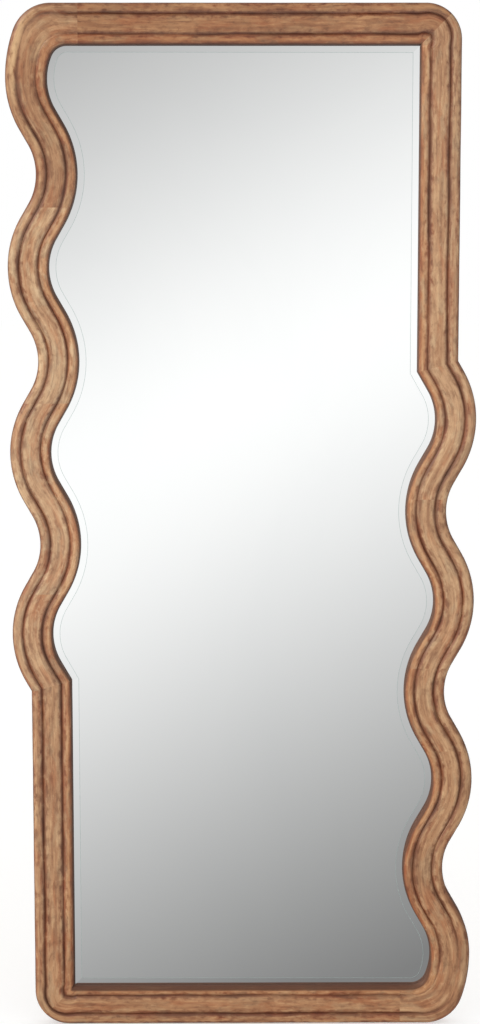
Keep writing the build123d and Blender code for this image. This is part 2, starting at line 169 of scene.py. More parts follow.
class Recipe:
    """One material under construction."""

    def __init__(self, name: str) -> None:
        """Starts an empty material.

        Args:
            name: the material's name.
        """
        self.material = bpy.data.materials.new(name)
        self.material.use_nodes = True
        self.tree = self.material.node_tree
        self.tree.nodes.clear()

    def node(self, kind: str, settings: Optional[dict] = None,
             inputs: Optional[dict] = None) -> bpy.types.Node:
        """Adds a node, with its settings first and then its sockets.

        Args:
            kind: the node's type.
            settings: its properties by name.
            inputs: values or wires by socket name or number.

        Returns:
            The node.
        """
        made = self.tree.nodes.new(kind)
        for key, value in (settings or {}).items():
            setattr(made, key, value)
        for key, feed in (inputs or {}).items():
            self._feed(made.inputs[key], feed)
        return made

    def _feed(self, socket: bpy.types.NodeSocket, feed: Feed) -> None:
        """Links a wire to a socket, or sets a value on it.

        Args:
            socket: the input.
            feed: what goes in.
        """
        if isinstance(feed, Wire):
            self.tree.links.new(feed.socket, socket)
        elif isinstance(feed, (int, float)):
            socket.default_value = feed
        elif socket.type == "RGBA":
            socket.default_value = (*feed[:3], 1.0)
        else:
            socket.default_value = tuple(feed)

    def places(self) -> Wire:
        """The piece's own coordinates, in metres."""
        return Wire(self, self.node("ShaderNodeTexCoord").outputs["Object"])

    def mark(self, name: str) -> Wire:
        """One number that the mesh carries at each point, by its name."""
        node = self.node("ShaderNodeAttribute", {"attribute_name": name})
        return Wire(self, node.outputs["Fac"])

    def vector(self, x: Feed, y: Feed, z: Feed) -> Wire:
        """Three numbers put together as one vector."""
        return Wire(self, self.node("ShaderNodeCombineXYZ", None, {0: x, 1: y, 2: z}).outputs[0])

    def stretch(self, vector: Wire, scale: Sequence[float]) -> Wire:
        """A vector times a scale for each axis."""
        node = self.node("ShaderNodeVectorMath", {"operation": "MULTIPLY"}, {0: vector, 1: scale})
        return Wire(self, node.outputs[0])

    def part(self, vector: Wire, axis: int) -> Wire:
        """One axis of a vector."""
        return Wire(self, self.node("ShaderNodeSeparateXYZ", None, {0: vector}).outputs[axis])

    def noise(self, vector: Wire, scale: float, detail: float = 3.0, rough: float = 0.5,
              swirl: float = 0.0) -> Wire:
        """Smooth noise between 0 and 1, about 0.5.

        Args:
            vector: where it is read.
            scale: how many features to a unit.
            detail: how many finer layers it has.
            rough: how strong those are.
            swirl: how far the pattern bends.

        Returns:
            The noise value.
        """
        node = self.node("ShaderNodeTexNoise", None, {"Vector": vector, "Scale": scale, "Detail": detail,
                                                      "Roughness": rough, "Distortion": swirl})
        return Wire(self, node.outputs[0])

    def cells(self, vector: Wire, scale: float) -> Wire:
        """The distance to the nearest of many scattered points."""
        node = self.node("ShaderNodeTexVoronoi", None, {"Vector": vector, "Scale": scale})
        return Wire(self, node.outputs["Distance"])

    def mix(self, share: Feed, first: Feed, second: Feed) -> Wire:
        """A colour between two, by share."""
        node = self.node("ShaderNodeMix", {"data_type": "RGBA"}, {0: share, 6: first, 7: second})
        return Wire(self, node.outputs[2])

    def shade(self, share: Feed, colour: Feed, by: Feed) -> Wire:
        """A colour multiplied by another, by share."""
        node = self.node("ShaderNodeMix", {"data_type": "RGBA", "blend_type": "MULTIPLY"},
                         {0: share, 6: colour, 7: by})
        return Wire(self, node.outputs[2])

    def bump(self, height: Wire, distance: float, strength: float = 1.0) -> Wire:
        """A normal bent by a height.

        Args:
            height: how high the surface is, 0 to 1.
            distance: what 1 stands for, in metres.
            strength: how much of it shows.

        Returns:
            The normal.
        """
        node = self.node("ShaderNodeBump", None,
                         {"Height": height, "Distance": distance, "Strength": strength})
        return Wire(self, node.outputs[0])

    def surface(self, colour: Feed, roughness: Feed, normal: Optional[Wire] = None,
                **rest: Feed) -> bpy.types.Material:
        """Ends the recipe with a Principled surface.

        Args:
            colour: the base colour.
            roughness: the roughness.
            normal: the bent normal, if any.
            **rest: other sockets, with _ for a space in their names.

        Returns:
            The finished material.
        """
        inputs = {"Base Color": colour, "Roughness": roughness}
        inputs.update({key.replace("_", " "): value for key, value in rest.items()})
        if normal is not None:
            inputs["Normal"] = normal
        shader = self.node("ShaderNodeBsdfPrincipled", None, inputs)
        self.node("ShaderNodeOutputMaterial", None, {"Surface": Wire(self, shader.outputs[0])})
        return self.material

    def glow(self, colour: Feed, strength: float) -> bpy.types.Material:
        """Ends the recipe with a plain light-giving surface.

        Args:
            colour: the light's colour.
            strength: its strength.

        Returns:
            The finished material.
        """
        shader = self.node("ShaderNodeEmission", None, {"Color": colour, "Strength": strength})
        self.node("ShaderNodeOutputMaterial", None, {"Surface": Wire(self, shader.outputs[0])})
        return self.material


@dataclass(frozen=True)
class CarvedWood:
    """Hand carved hardwood, stained, rubbed back along its edges and waxed, with shade painted into its
    grooves, along its lip, at its outer edge and on its hidden faces, and highlights painted on its band
    tops, arrises and outer edge.
    """

    tan: Colour = tint(190, 147, 106)
    rosy: Colour = tint(170, 119, 78)
    russet: Colour = tint(172, 98, 46)
    ashen: Colour = tint(178, 150, 116)
    honey: Colour = tint(208, 143, 84)
    # dark brown of the stain settled in the grooves, and of the painted shade in the grooves, along the lip,
    # at the outer edge and on the hidden faces
    stain_shade_brown: Colour = tint(88, 54, 30)
    # pale of the real grain and wear, and of the painted highlights on band tops, arrises and the outer edge
    cream: Colour = tint(238, 206, 160)
    pore: Colour = tint(106, 72, 46)
    smoke: Colour = tint(158, 122, 90)
    # brown of the painted shade down each band's flanks
    flank: Colour = tint(174, 109, 62)
    deep: Colour = (0.66, 0.48, 0.35)
    sheen: float = 0.50

    def material(self) -> bpy.types.Material:
        """The finish, which follows the rail by the marks that the mesh carries, some of which paint shade
        and highlights.
        """
        recipe = Recipe("carved_wood")
        along, girth, shift = recipe.mark("along"), recipe.mark("girth"), recipe.mark("shift")
        stain_and_shade, wear_and_highlight, tone, amber = (recipe.mark(name) for name in ("stain_and_shade", "wear_and_highlight", "tone", "amber"))
        crown = recipe.mark("crown")
        lay = recipe.vector(along, girth, shift)
        broad = recipe.noise(recipe.stretch(lay, (8, 36, 5)), 1.0, 3.0, 0.5, 0.4)
        patches = recipe.noise(recipe.stretch(lay, (13, 60, 9)), 1.0, 3.0, 0.55)
        bleached = recipe.noise(recipe.stretch(lay, (20, 52, 3)), 1.0, 3.0, 0.6)
        streaks = recipe.noise(recipe.stretch(lay, (16, 170, 7)), 1.0, 4.0, 0.55, 0.5)
        mottle = recipe.noise(recipe.stretch(lay, (70, 130, 11)), 1.0, 4.0, 0.6)
        pores = recipe.noise(recipe.stretch(lay, (90, 1300, 13)), 1.0, 2.0, 0.5)
        colour = recipe.mix(broad.band(0.36, 0.64), self.tan, self.rosy)
        colour = recipe.mix(amber * 0.45, colour, self.honey)
        colour = recipe.mix(patches.band(0.48, 0.66) * 0.70, colour, self.russet)
        colour = recipe.mix(bleached.band(0.50, 0.66) * 0.60, colour, self.ashen)
        # painted shade down each band's flanks and a painted highlight along its top, so the band reads round
        colour = recipe.shade((1 - crown) * 0.75, colour, self.flank)
        colour = recipe.mix(crown.band(0.75, 1.0) * 0.16, colour, self.cream)
        colour = recipe.shade(streaks.band(0.54, 0.34) * 0.40, colour, self.smoke)
        colour = recipe.mix(streaks.band(0.54, 0.70) * 0.35, colour, self.cream)
        colour = recipe.shade(mottle.band(0.50, 0.34) * 0.34, colour, self.smoke)
        # wear and painted highlight along the arrises and the outer edge's round
        colour = recipe.mix(wear_and_highlight * mottle.band(0.35, 0.60) * 0.75, colour, self.cream)
        colour = recipe.mix(pores.band(0.60, 0.70) * 0.20, colour, self.pore)
        colour = recipe.mix(mottle.band(0.56, 0.72) * 0.30, colour, self.cream)
        # stain and painted shade: the grooves, the lip, the outer edge and the hidden faces are darkened by
        # this mark
        colour = recipe.mix(stain_and_shade * (0.78 + 0.30 * mottle), colour, self.stain_shade_brown)
        colour = recipe.shade(tone, colour, self.deep)
        height = streaks * 0.5 + mottle * 0.35 + pores.band(0.70, 0.60) * 0.3
        roughness = self.sheen - wear_and_highlight * 0.10 + stain_and_shade * 0.22 + mottle * 0.12
        return recipe.surface(colour, roughness, recipe.bump(height, 0.7 * MM, 0.8),
                              Coat_Weight=0.08, Coat_Roughness=0.35)


@dataclass(frozen=True)
class BareTimber:
    """Turned or sawn beech with nothing on it."""

    light: Colour = tint(214, 180, 140)
    dark: Colour = tint(176, 136, 96)

    def material(self) -> bpy.types.Material:
        """The finish, with fine flecks along the grain."""
        recipe = Recipe("bare_beech")
        places = recipe.places()
        grain = recipe.noise(recipe.stretch(places, (260, 260, 40)), 1.0, 4.0, 0.6)
        flecks = recipe.cells(recipe.stretch(places, (900, 900, 160)), 1.0)
        colour = recipe.mix(grain.band(0.35, 0.68), self.light, self.dark)
        colour = recipe.shade(flecks.band(0.25, 0.05) * 0.4, colour, self.dark)
        return recipe.surface(colour, 0.62 + 0.1 * grain, recipe.bump(grain, 0.2 * MM, 0.5))


@dataclass(frozen=True)
class SilveredGlass:
    """The polished face of the mirror, with the faint haze that a wiped glass keeps."""

    silver: Colour = (0.925, 0.935, 0.930)
    hazed: Colour = (0.905, 0.917, 0.915)

    def material(self) -> bpy.types.Material:
        """The finish."""
        recipe = Recipe("silvered_glass")
        haze = recipe.noise(recipe.stretch(recipe.places(), (2.2, 2.2, 1.4)), 1.0, 4.0, 0.6, 0.8)
        colour = recipe.mix(haze.band(0.35, 0.75), self.silver, self.hazed)
        return recipe.surface(colour, 0.004 + 0.012 * haze.band(0.45, 0.8), Metallic=1.0)


@dataclass(frozen=True)
class GroundGlass:
    """The ground edge of the glass and the line where its bevel starts."""

    green: Colour = tint(150, 172, 166)
    frosted: Colour = tint(196, 206, 203)

    def material(self) -> bpy.types.Material:
        """The finish."""
        recipe = Recipe("ground_glass")
        grit = recipe.noise(recipe.places(), 1400.0, 2.0, 0.6)
        colour = recipe.mix(grit.band(0.3, 0.7), self.green, self.frosted)
        return recipe.surface(colour, 0.22 + 0.2 * grit, recipe.bump(grit, 0.05 * MM, 0.5), Metallic=0.45)


@dataclass(frozen=True)
class BackPaint:
    """The grey paint that guards the silver."""

    grey: Colour = tint(122, 126, 130)
    thin: Colour = tint(104, 107, 112)

    def material(self) -> bpy.types.Material:
        """The finish, with the curtain coater's faint streaks."""
        recipe = Recipe("mirror_back_paint")
        streaks = recipe.noise(recipe.stretch(recipe.places(), (60, 60, 3)), 1.0, 3.0, 0.5)
        return recipe.surface(recipe.mix(streaks, self.grey, self.thin), 0.5 + 0.15 * streaks)


@dataclass(frozen=True)
class Fibreboard:
    """Thin brown pressed board."""

    brown: Colour = tint(158, 124, 92)
    dark: Colour = tint(142, 110, 80)
    fleck: Colour = tint(108, 78, 54)
    pale: Colour = tint(176, 144, 110)

    def material(self) -> bpy.types.Material:
        """The finish, with pressed fibres and darker flecks."""
        recipe = Recipe("fibreboard")
        places = recipe.places()
        cloud = recipe.noise(places, 5.0, 3.0, 0.55)
        fibres = recipe.noise(recipe.stretch(places, (700, 700, 260)), 1.0, 3.0, 0.65, 1.2)
        flecks = recipe.noise(recipe.stretch(places, (340, 340, 900)), 1.0, 2.0, 0.6, 0.8)
        colour = recipe.mix(cloud.band(0.3, 0.7), self.brown, self.dark)
        colour = recipe.mix(fibres.band(0.55, 0.75) * 0.6, colour, self.pale)
        colour = recipe.mix(flecks.band(0.60, 0.70) * 0.55, colour, self.fleck)
        return recipe.surface(colour, 0.55 + 0.2 * fibres, recipe.bump(fibres, 0.15 * MM, 0.6))


@dataclass(frozen=True)
class PackingFoam:
    """White closed-cell foam."""

    white: Colour = tint(226, 226, 222)
    shadow: Colour = tint(190, 190, 188)

    def material(self) -> bpy.types.Material:
        """The finish, with small closed cells."""
        recipe = Recipe("packing_foam")
        cells = recipe.cells(recipe.places(), 700.0)
        return recipe.surface(recipe.mix(cells.band(0.2, 0.7), self.white, self.shadow), 0.8 + 0.1 * cells,
                              recipe.bump(cells, 0.3 * MM, 0.6))


@dataclass(frozen=True)
class BlackRubber:
    """Moulded rubber with a little bloom on it."""

    black: Colour = tint(38, 38, 40)
    bloom: Colour = tint(70, 70, 72)

    def material(self) -> bpy.types.Material:
        """The finish."""
        recipe = Recipe("black_rubber")
        places = recipe.places()
        dust = recipe.noise(places, 160.0, 3.0, 0.6)
        grain = recipe.noise(places, 2600.0, 2.0, 0.5)
        colour = recipe.mix(dust.band(0.45, 0.8) * 0.6, self.black, self.bloom)
        return recipe.surface(colour, 0.62 + 0.2 * dust, recipe.bump(grain, 0.06 * MM, 0.6))


@dataclass(frozen=True)
class ZincSteel:
    """Bright zinc plating on steel, faintly blue and yellow."""

    zinc: Colour = tint(196, 200, 204)
    warm: Colour = tint(204, 196, 176)
    dull: Colour = tint(150, 154, 158)

    def material(self) -> bpy.types.Material:
        """The finish, with the plating's spangle and drawn lines."""
        recipe = Recipe("zinc_steel")
        places = recipe.places()
        film = recipe.noise(places, 120.0, 2.0, 0.5, 0.5)
        spangle = recipe.cells(places, 900.0)
        lines = recipe.noise(recipe.stretch(places, (3000, 3000, 220)), 1.0, 2.0, 0.6)
        colour = recipe.mix(film.band(0.45, 0.7) * 0.6, self.zinc, self.warm)
        colour = recipe.mix(spangle.band(0.5, 0.15) * 0.3, colour, self.dull)
        return recipe.surface(colour, 0.26 + 0.16 * lines + 0.08 * film,
                              recipe.bump(lines, 0.03 * MM, 0.5), Metallic=1.0)


# ------------------------------------------------------------------- geometry


@dataclass(frozen=True)
class Station:
    """One section line across a rail, from its outer edge to its sight edge."""

    outer: Place
    inner: Place
    along: float
    outer_pitch: float = 1.0
    inner_pitch: float = 1.0
    outer_cut: float = 1.0
    inner_cut: float = 1.0

    def at(self, s: float, half: float, middle: float) -> Place:
        """Where s is on the front.

        Args:
            s: the distance from the rail's middle, towards the glass.
            half: half the rail's width.
            middle: within this of the middle the line is stretched to fit.

        Returns:
            The place.
        """
        line = self.inner - self.outer
        length = line.length
        from_outer = (half - middle) * self.outer_pitch
        from_inner = length - (half - middle) * self.inner_pitch
        if s < -middle:
            reach = (s + half) * self.outer_pitch
        elif s > middle:
            reach = length - (half - s) * self.inner_pitch
        else:
            reach = from_outer + (s + middle) / (2 * middle) * (from_inner - from_outer)
        return self.outer + line * (reach / length)


@dataclass(frozen=True)
class Plan:
    """The frame's lines on the front, with the sizes that the solids have."""

    height: float
    width: float
    rail: float
    depth: float
    back: float
    first_bulge: float = 126.0 * MM
    half_wave: float = 158.5 * MM
    bulges: int = 4
    wave_height: float = 50.0 * MM
    wave_shift: float = 7.0 * MM
    slope: float = math.radians(30)
    corner_reach: float = 92.0 * MM
    corner_round: float = 68.0 * MM
    shoulder: float = 240.0 * MM
    inner_round: float = 28.0 * MM
    mitre_round: float = 61.0 * MM
    mitre_pitch: float = 0.8

    @property
    def half(self) -> float:
        """Half the rail's width."""
        return self.rail / 2

    @property
    def bulge_across(self) -> float:
        """How far the wave's middle line is from the straight edge at a bulge."""
        return self.half - self.wave_shift - self.wave_height / 2

    @property
    def turn_radius(self) -> float:
        """The radius of each turn of the wave's middle line."""
        return (self.half_wave * math.tan(self.slope) - self.wave_height) / (1 / math.cos(self.slope) - 1) / 2

    @property
    def turns(self) -> int:
        """How many turns the wave has."""
        return 2 * self.bulges - 1

    @property
    def bend_down(self) -> float:
        """How far down the wave meets the straight stile."""
        rise = self.wave_shift + self.wave_height / 2 - self.turn_radius * (1 - math.cos(self.slope))
        return (self.first_bulge + (self.turns - 1) * self.half_wave
                + self.turn_radius * math.sin(self.slope) + rise / math.tan(self.slope))

    def turn_centre(self, turn: int) -> Place:
        """The centre of one turn, the first bulge being turn 0."""
        down = self.first_bulge + turn * self.half_wave
        if turn % 2:
            return Vector((self.bulge_across + self.wave_height - self.turn_radius, down))
        return Vector((self.bulge_across + self.turn_radius, down))

    def bend(self, offset: float) -> Place:
        """The point of the bend, offset towards the glass."""
        return Vector((self.half + offset, self.bend_down - offset * math.tan(self.slope / 2)))

    def lay(self, place: Place, w: float, side: Side) -> Vector:
        """A place on one half of the front, at a height over the wood's back.

        Args:
            place: (across, down) on the left half.
            w: the height over the back.
            side: the half that it is wanted on.

        Returns:
            The point in the object's frame.
        """
        x, z = place[0] - self.width / 2, self.height - place[1]
        if side is Side.RIGHT:
            x, z = -x, self.height - z
        return Vector((x, self.back - w, z))


def around(centre: Place, radius: float, degrees: float) -> Place:
    """The place at an angle round a centre, counted from across towards down."""
    angle = math.radians(degrees)
    return centre + radius * Vector((math.cos(angle), math.sin(angle)))


@dataclass(frozen=True)
class Leg:
    """A stretch of rail: how its two edges run, and how the section and the grooves change over it."""

    outer: Edge
    inner: Edge
    outer_pitch: tuple[float, float] = (1.0, 1.0)
    inner_pitch: tuple[float, float] = (1.0, 1.0)
    outer_cut: tuple[float, float] = (1.0, 1.0)
    inner_cut: tuple[float, float] = (1.0, 1.0)

    def stations(self, step: float, along: float, first: bool) -> list[Station]:
        """The sections of this leg.

        Args:
            step: the longest way between two.
            along: how far along the rail the leg starts.
            first: whether the starting section is wanted too.

        Returns:
            The sections in order.
        """
        tries = 24
        reach = max(sum((edge(k / tries) - edge((k - 1) / tries)).length for k in range(1, tries + 1))
                    for edge in (self.outer, self.inner))
        count = max(1, math.ceil(reach / step))
        found = []
        last = (self.outer(0.0) + self.inner(0.0)) / 2
        for index in range(count + 1):
            k = index / count
            outer, inner = self.outer(k), self.inner(k)
            middle = (outer + inner) / 2
            along += (middle - last).length
            last = middle
            if index or first:
                ends = (self.outer_pitch, self.inner_pitch, self.outer_cut, self.inner_cut)
                found.append(Station(outer, inner, along, *(low + (high - low) * k for low, high in ends)))
        return found


def straight(start: Place, end: Place) -> Edge:
    """An edge that runs straight."""
    return lambda k: start.lerp(end, k)


def curve(centre: Place, radius: float, start: float, end: float) -> Edge:
    """An edge that runs round a centre, between two angles."""
    return lambda k: around(centre, radius, start + (end - start) * k)


def joined(first: Edge, second: Edge, share: float) -> Edge:
    """Two edges in a row, the first taking the given share."""
    return lambda k: first(k / share) if k < share else second((k - share) / (1 - share))


@dataclass(frozen=True)
class RailLines:
    """The sections of one half of the frame, piece by piece."""

    plan: Plan
    step: float
    clear_of_mitre: float = 4.0 * MM
    clear_of_bend: float = 26.0 * MM
    stile_share: float = 0.24

    def corner_legs(self) -> list[Leg]:
        """The corner block, from the rail's end to the first bulge."""
        plan = self.plan
        bulge = plan.turn_centre(0)
        shoulder = Vector((plan.bulge_across - plan.half + plan.shoulder, plan.first_bulge))
        outer_reach = plan.shoulder - plan.corner_round
        outer_drop = plan.first_bulge - plan.corner_round
        outer_across = shoulder[0] - math.sqrt(outer_reach ** 2 - outer_drop ** 2)
        outer_centre = Vector((outer_across, plan.corner_round))
        outer_meet = 180 + math.degrees(math.asin(outer_drop / outer_reach))
        inner_reach = plan.turn_radius - plan.half - plan.inner_round
        inner_drop = plan.first_bulge - plan.rail - plan.inner_round
        inner_across = bulge[0] - math.sqrt(inner_reach ** 2 - inner_drop ** 2)
        inner_centre = Vector((inner_across, plan.rail + plan.inner_round))
        inner_meet = 180 + math.degrees(math.asin(inner_drop / inner_reach))
        return [
            Leg(straight(Vector((plan.corner_reach, 0)), Vector((outer_centre[0], 0))),
                straight(Vector((plan.corner_reach, plan.rail)), Vector((inner_centre[0], plan.rail))),
                outer_cut=(1.0, 0.55), inner_cut=(0.7, 0.05)),
            Leg(curve(outer_centre, plan.corner_round, 270, outer_meet),
                curve(inner_centre, plan.inner_round, 270, inner_meet),
                outer_cut=(0.55, 0.0), inner_cut=(0.05, 0.0)),
            Leg(curve(shoulder, plan.shoulder, outer_meet, 180),
                curve(bulge, plan.turn_radius - plan.half, inner_meet, 180),
                outer_cut=(0.0, 0.35), inner_cut=(0.0, 0.75)),
        ]

    def wave_legs(self) -> list[Leg]:
        """The wave below the first bulge, down to the bend."""
        plan = self.plan
        lean = math.degrees(plan.slope)
        legs = []
        last: Optional[tuple[Place, Place]] = None
        for turn in range(plan.turns):
            centre = plan.turn_centre(turn)
            sign = 1 if turn % 2 else -1
            radii = plan.turn_radius - sign * plan.half, plan.turn_radius + sign * plan.half
            angles = (-lean, lean) if turn % 2 else (180 + lean if turn else 180, 180 - lean)
            edges = [curve(centre, radius, *angles) for radius in radii]
            if last:
                legs.append(Leg(straight(last[0], edges[0](0.0)), straight(last[1], edges[1](0.0))))
            cuts = ((0.35, 1.0), (0.75, 1.0)) if turn == 0 else ((1.0, 1.0), (1.0, 1.0))
            legs.append(Leg(*edges, outer_cut=cuts[0], inner_cut=cuts[1]))
            last = edges[0](1.0), edges[1](1.0)
        slant = 1 / math.cos(plan.slope / 2)
        legs.append(Leg(straight(last[0], plan.bend(-plan.half)), straight(last[1], plan.bend(plan.half)),
                        (1.0, slant), (1.0, slant)))
        return legs

    def stile_legs(self) -> list[Leg]:
        """The straight stile, from the bend to the mitre."""
        plan = self.plan
        slant = 1 / math.cos(plan.slope / 2)
        top = plan.bend_down + self.clear_of_bend
        foot = plan.height - plan.rail - self.clear_of_mitre
        heel = Vector((plan.mitre_round, plan.height - plan.mitre_round))
        outer_top, inner_top = Vector((0, top)), Vector((plan.rail, top))
        outer_foot, inner_foot = Vector((0, foot)), Vector((plan.rail, foot))
        outer = joined(straight(outer_foot, Vector((0, heel[1]))), curve(heel, plan.mitre_round, 180, 135),
                       self.stile_share)
        return [
            Leg(straight(plan.bend(-plan.half), outer_top), straight(plan.bend(plan.half), inner_top),
                (slant, 1.0), (slant, 1.0)),
            Leg(straight(outer_top, outer_foot), straight(inner_top, inner_foot)),
            Leg(outer, straight(inner_foot, Vector((plan.rail, plan.height - plan.rail))),
                (1.0, plan.mitre_pitch), (1.0, math.sqrt(2)), (1.0, 0.8), (1.0, 0.9)),
        ]

    def rail_legs(self) -> list[Leg]:
        """The bottom rail, from the mitre to the next corner block."""
        plan = self.plan
        start = plan.rail + self.clear_of_mitre
        end = plan.width - plan.corner_reach
        heel = Vector((plan.mitre_round, plan.height - plan.mitre_round))
        level = plan.height - plan.rail
        outer = joined(curve(heel, plan.mitre_round, 135, 90),
                       straight(Vector((heel[0], plan.height)), Vector((start, plan.height))),
                       1 - self.stile_share)
        return [
            Leg(outer, straight(Vector((plan.rail, level)), Vector((start, level))),
                (plan.mitre_pitch, 1.0), (math.sqrt(2), 1.0), (0.8, 1.0), (0.9, 1.0)),
            Leg(straight(Vector((start, plan.height)), Vector((end, plan.height))),
                straight(Vector((start, level)), Vector((end, level))), inner_cut=(1.0, 0.7)),
        ]

    def run(self, legs: Iterable[Leg], along: float) -> list[Station]:
        """The sections of several legs in a row.

        Args:
            legs: the legs in order.
            along: how far along the first starts.

        Returns:
            All their sections.
        """
        found: list[Station] = []
        for leg in legs:
            found += leg.stations(self.step, along, first=not found)
            along = found[-1].along
        return found

    def sight_line(self, growth: float, step: float) -> list[Place]:
        """Places round the sight edge of the left half, grown into the wood.

        Args:
            growth: how far out of the sight edge, into the wood.
            step: the longest way between two.

        Returns:
            The places in order, from the far end of the top to the foot.
        """
        plan = self.plan
        level = plan.rail - growth
        found = [Vector((plan.width - level, level))]
        for leg in self.corner_legs()[1:] + self.wave_legs():
            for station in leg.stations(step, 0.0, first=len(found) == 1):
                line = (station.outer - station.inner).normalized()
                found.append(station.inner + line * growth)
        found[-1] = plan.bend(plan.half - growth)
        return found


@dataclass(frozen=True)
class Moulding:
    """The carved section: three bands between two grooves, over the rebates for the glass and the panel."""

    half: float
    depth: float
    seed: float
    edge_round: float = 10.0 * MM
    lip_round: float = 7.0 * MM
    outer_groove: float = -15.5 * MM
    inner_groove: float = 18.0 * MM
    groove_reach: float = 6.0 * MM
    groove_depth: float = 4.0 * MM
    # how far the stain and painted shade reach from a groove, the painted shade at the outer edge and along
    # the lip, and where the painted highlight on the outer band falls
    groove_shade_reach: float = 4.0 * MM
    contour: float = 3.0 * MM
    lip_shade: float = 2.5 * MM
    lip_shade_up: float = 6.0 * MM
    highlight_at: float = 12.0 * MM
    highlight_reach: float = 5.0 * MM
    middle: float = 11.0 * MM
    lip_back: float = 20.0 * MM
    pocket: float = 10.0 * MM
    rebate: float = 24.0 * MM
    panel: float = 3.0 * MM
    back_ease: float = 2.0 * MM
    groove_drift: float = 1.5 * MM
    crest_fall: float = 0.9 * MM
    knife_mark: float = 0.45 * MM
    outer_stray: float = 0.5 * MM
    outer_stray_reach: float = 14.0 * MM
    inner_stray: float = 0.3 * MM
    inner_stray_reach: float = 8.0 * MM

    def front_lines(self) -> list[float]:
        """Where the section has a vertex on its front, from the outer edge to the lip."""
        lines = [-self.half + self.edge_round * (1 - math.cos(math.radians(a))) for a in range(0, 91, 15)]
        lines += [-23 * MM]
        for centre in (self.outer_groove, self.inner_groove):
            lines += [centre + share * self.groove_reach
                      for share in (-1.15, -0.8, -0.55, -0.35, -0.18, 0.0, 0.18, 0.35, 0.55, 0.8, 1.15)]
            if centre < 0:
                lines += [-6 * MM, -3 * MM, 0.0, 3 * MM, 6 * MM, 9 * MM]
        lines += [26.2 * MM]
        lines += [self.half - self.lip_round * (1 - math.cos(math.radians(a))) for a in range(90, -1, -15)]
        return lines

    def hidden_lines(self) -> list[tuple[float, float]]:
        """The rest of the section as (s, w), from the lip's back round to the outer edge."""
        half = self.half
        pocket, rebate = half - self.pocket, half - self.rebate
        return [(half, self.lip_back), (pocket, self.lip_back), (pocket, self.panel), (rebate, self.panel),
                (rebate, 0.0), (0.0, 0.0), (-half / 2, 0.0), (-half + self.back_ease, 0.0),
                (-half, self.back_ease), (-half, 9 * MM), (-half, 16 * MM)]

    def rough(self, along: float, s: float, pace: float, across: float) -> float:
        """Smooth noise between -1 and 1 over the rail.

        Args:
            along: the distance along the rail.
            s: the distance across it.
            pace: features to a metre along.
            across: features to a metre across.

        Returns:
            The value.
        """
        return noise.noise(Vector((along * pace, s * across, self.seed)))

    def front(self, s: float, station: Station, rise: float, lit: float) -> tuple[float, float, float, float]:
        """The carved front at one point.

        Args:
            s: the section line.
            station: the section along the rail.
            rise: how far the sight edge faces up here, 0 to 1, which widens the painted shade along the lip.
            lit: how far the outer edge faces the upper left here, 0 to 1, which sets the painted highlight on
                the outer band.

        Returns:
            The line's place across, its height over the back, then how much stain and painted shade and how
            much wear and painted highlight it carries, 0 to 1.
        """
        along = station.along
        across, w = s, self.depth
        stain_and_shade = wear_and_highlight = 0.0
        grooves = ((self.outer_groove, station.outer_cut, 9.0), (self.inner_groove, station.inner_cut, 11.0))
        for centre, cut, pace in grooves:
            near = max(0.0, 1.0 - abs(s - centre) / (1.7 * self.groove_reach))
            drift = self.groove_drift * self.rough(along, centre, pace, 900)
            across += drift * min(1.0, near * 2.2)
            inside = self.groove_reach - abs(s - centre)
            if inside > 0:
                depth = self.groove_depth * (1 + 0.35 * self.rough(along, centre + 0.3, 13.0, 900))
                radius = (self.groove_reach ** 2 + depth ** 2) / (2 * depth)
                drop = (radius - math.sqrt(max(0.0, radius ** 2 - inside ** 2))) * cut
                w -= drop
            # the groove's dark: stain settled in it and painted shade
            groove_stain_and_shade = math.exp(-((s - centre) / self.groove_shade_reach) ** 2) * cut
            patchy = (0.50 + 0.7 * self.rough(along, centre, 8.0, 900)
                      + 0.4 * self.rough(along, centre, 31.0, 900))
            stain_and_shade = max(stain_and_shade, 0.82 * groove_stain_and_shade * patchy)
            # pale wear and painted highlight along each groove's rim
            rim = abs(abs(s - centre) - 0.92 * self.groove_reach) / (2.4 * MM)
            wear_and_highlight = max(wear_and_highlight, cut * math.exp(-rim * rim) * (0.45 + 0.55 * self.rough(along, s, 17.0, 60)))
        from_outer, from_lip = s + self.half, self.half - s
        if from_outer < self.edge_round:
            w -= self.edge_round - math.sqrt(self.edge_round ** 2 - (self.edge_round - from_outer) ** 2)
        if from_lip < self.lip_round:
            w -= self.lip_round - math.sqrt(self.lip_round ** 2 - (self.lip_round - from_lip) ** 2)
        # painted highlight, with some wear, where the outer round turns
        edge = abs(from_outer - 0.45 * self.edge_round) / (4 * MM)
        wear_and_highlight = max(wear_and_highlight, math.exp(-edge * edge) * (0.3 + 0.7 * self.rough(along, 0.5, 12.0, 60)))
        # painted highlight on the outer band where the edge faces the upper left light
        shoulder = (from_outer - self.highlight_at) / self.highlight_reach
        painted_highlight = lit * (1 - station.outer_cut) * math.exp(-shoulder * shoulder)
        wear_and_highlight = max(wear_and_highlight, painted_highlight * (1.5 + 0.5 * self.rough(along, s, 30.0, 80)))
        middle = (self.outer_groove + self.inner_groove) / 2
        if self.outer_groove < s < self.inner_groove:
            w -= self.crest_fall * ((s - middle) / (self.inner_groove - middle)) ** 2
        knife = 0.5 + 0.5 * self.rough(along, s, 22.0, 55)
        w -= self.knife_mark * knife * min(1.0, from_outer / (6 * MM)) * min(1.0, from_lip / (6 * MM))
        # painted shade at the outer edge, and along the lip, wider where the sight edge faces up
        lip_shade = self.lip_shade + self.lip_shade_up * rise
        stain_and_shade = max(stain_and_shade, 0.75 * (1 - from_outer / self.contour),
                     0.95 * min(1.0, (lip_shade - from_lip) / (2 * MM)))
        return across, w, min(1.0, stain_and_shade), max(0.0, wear_and_highlight)

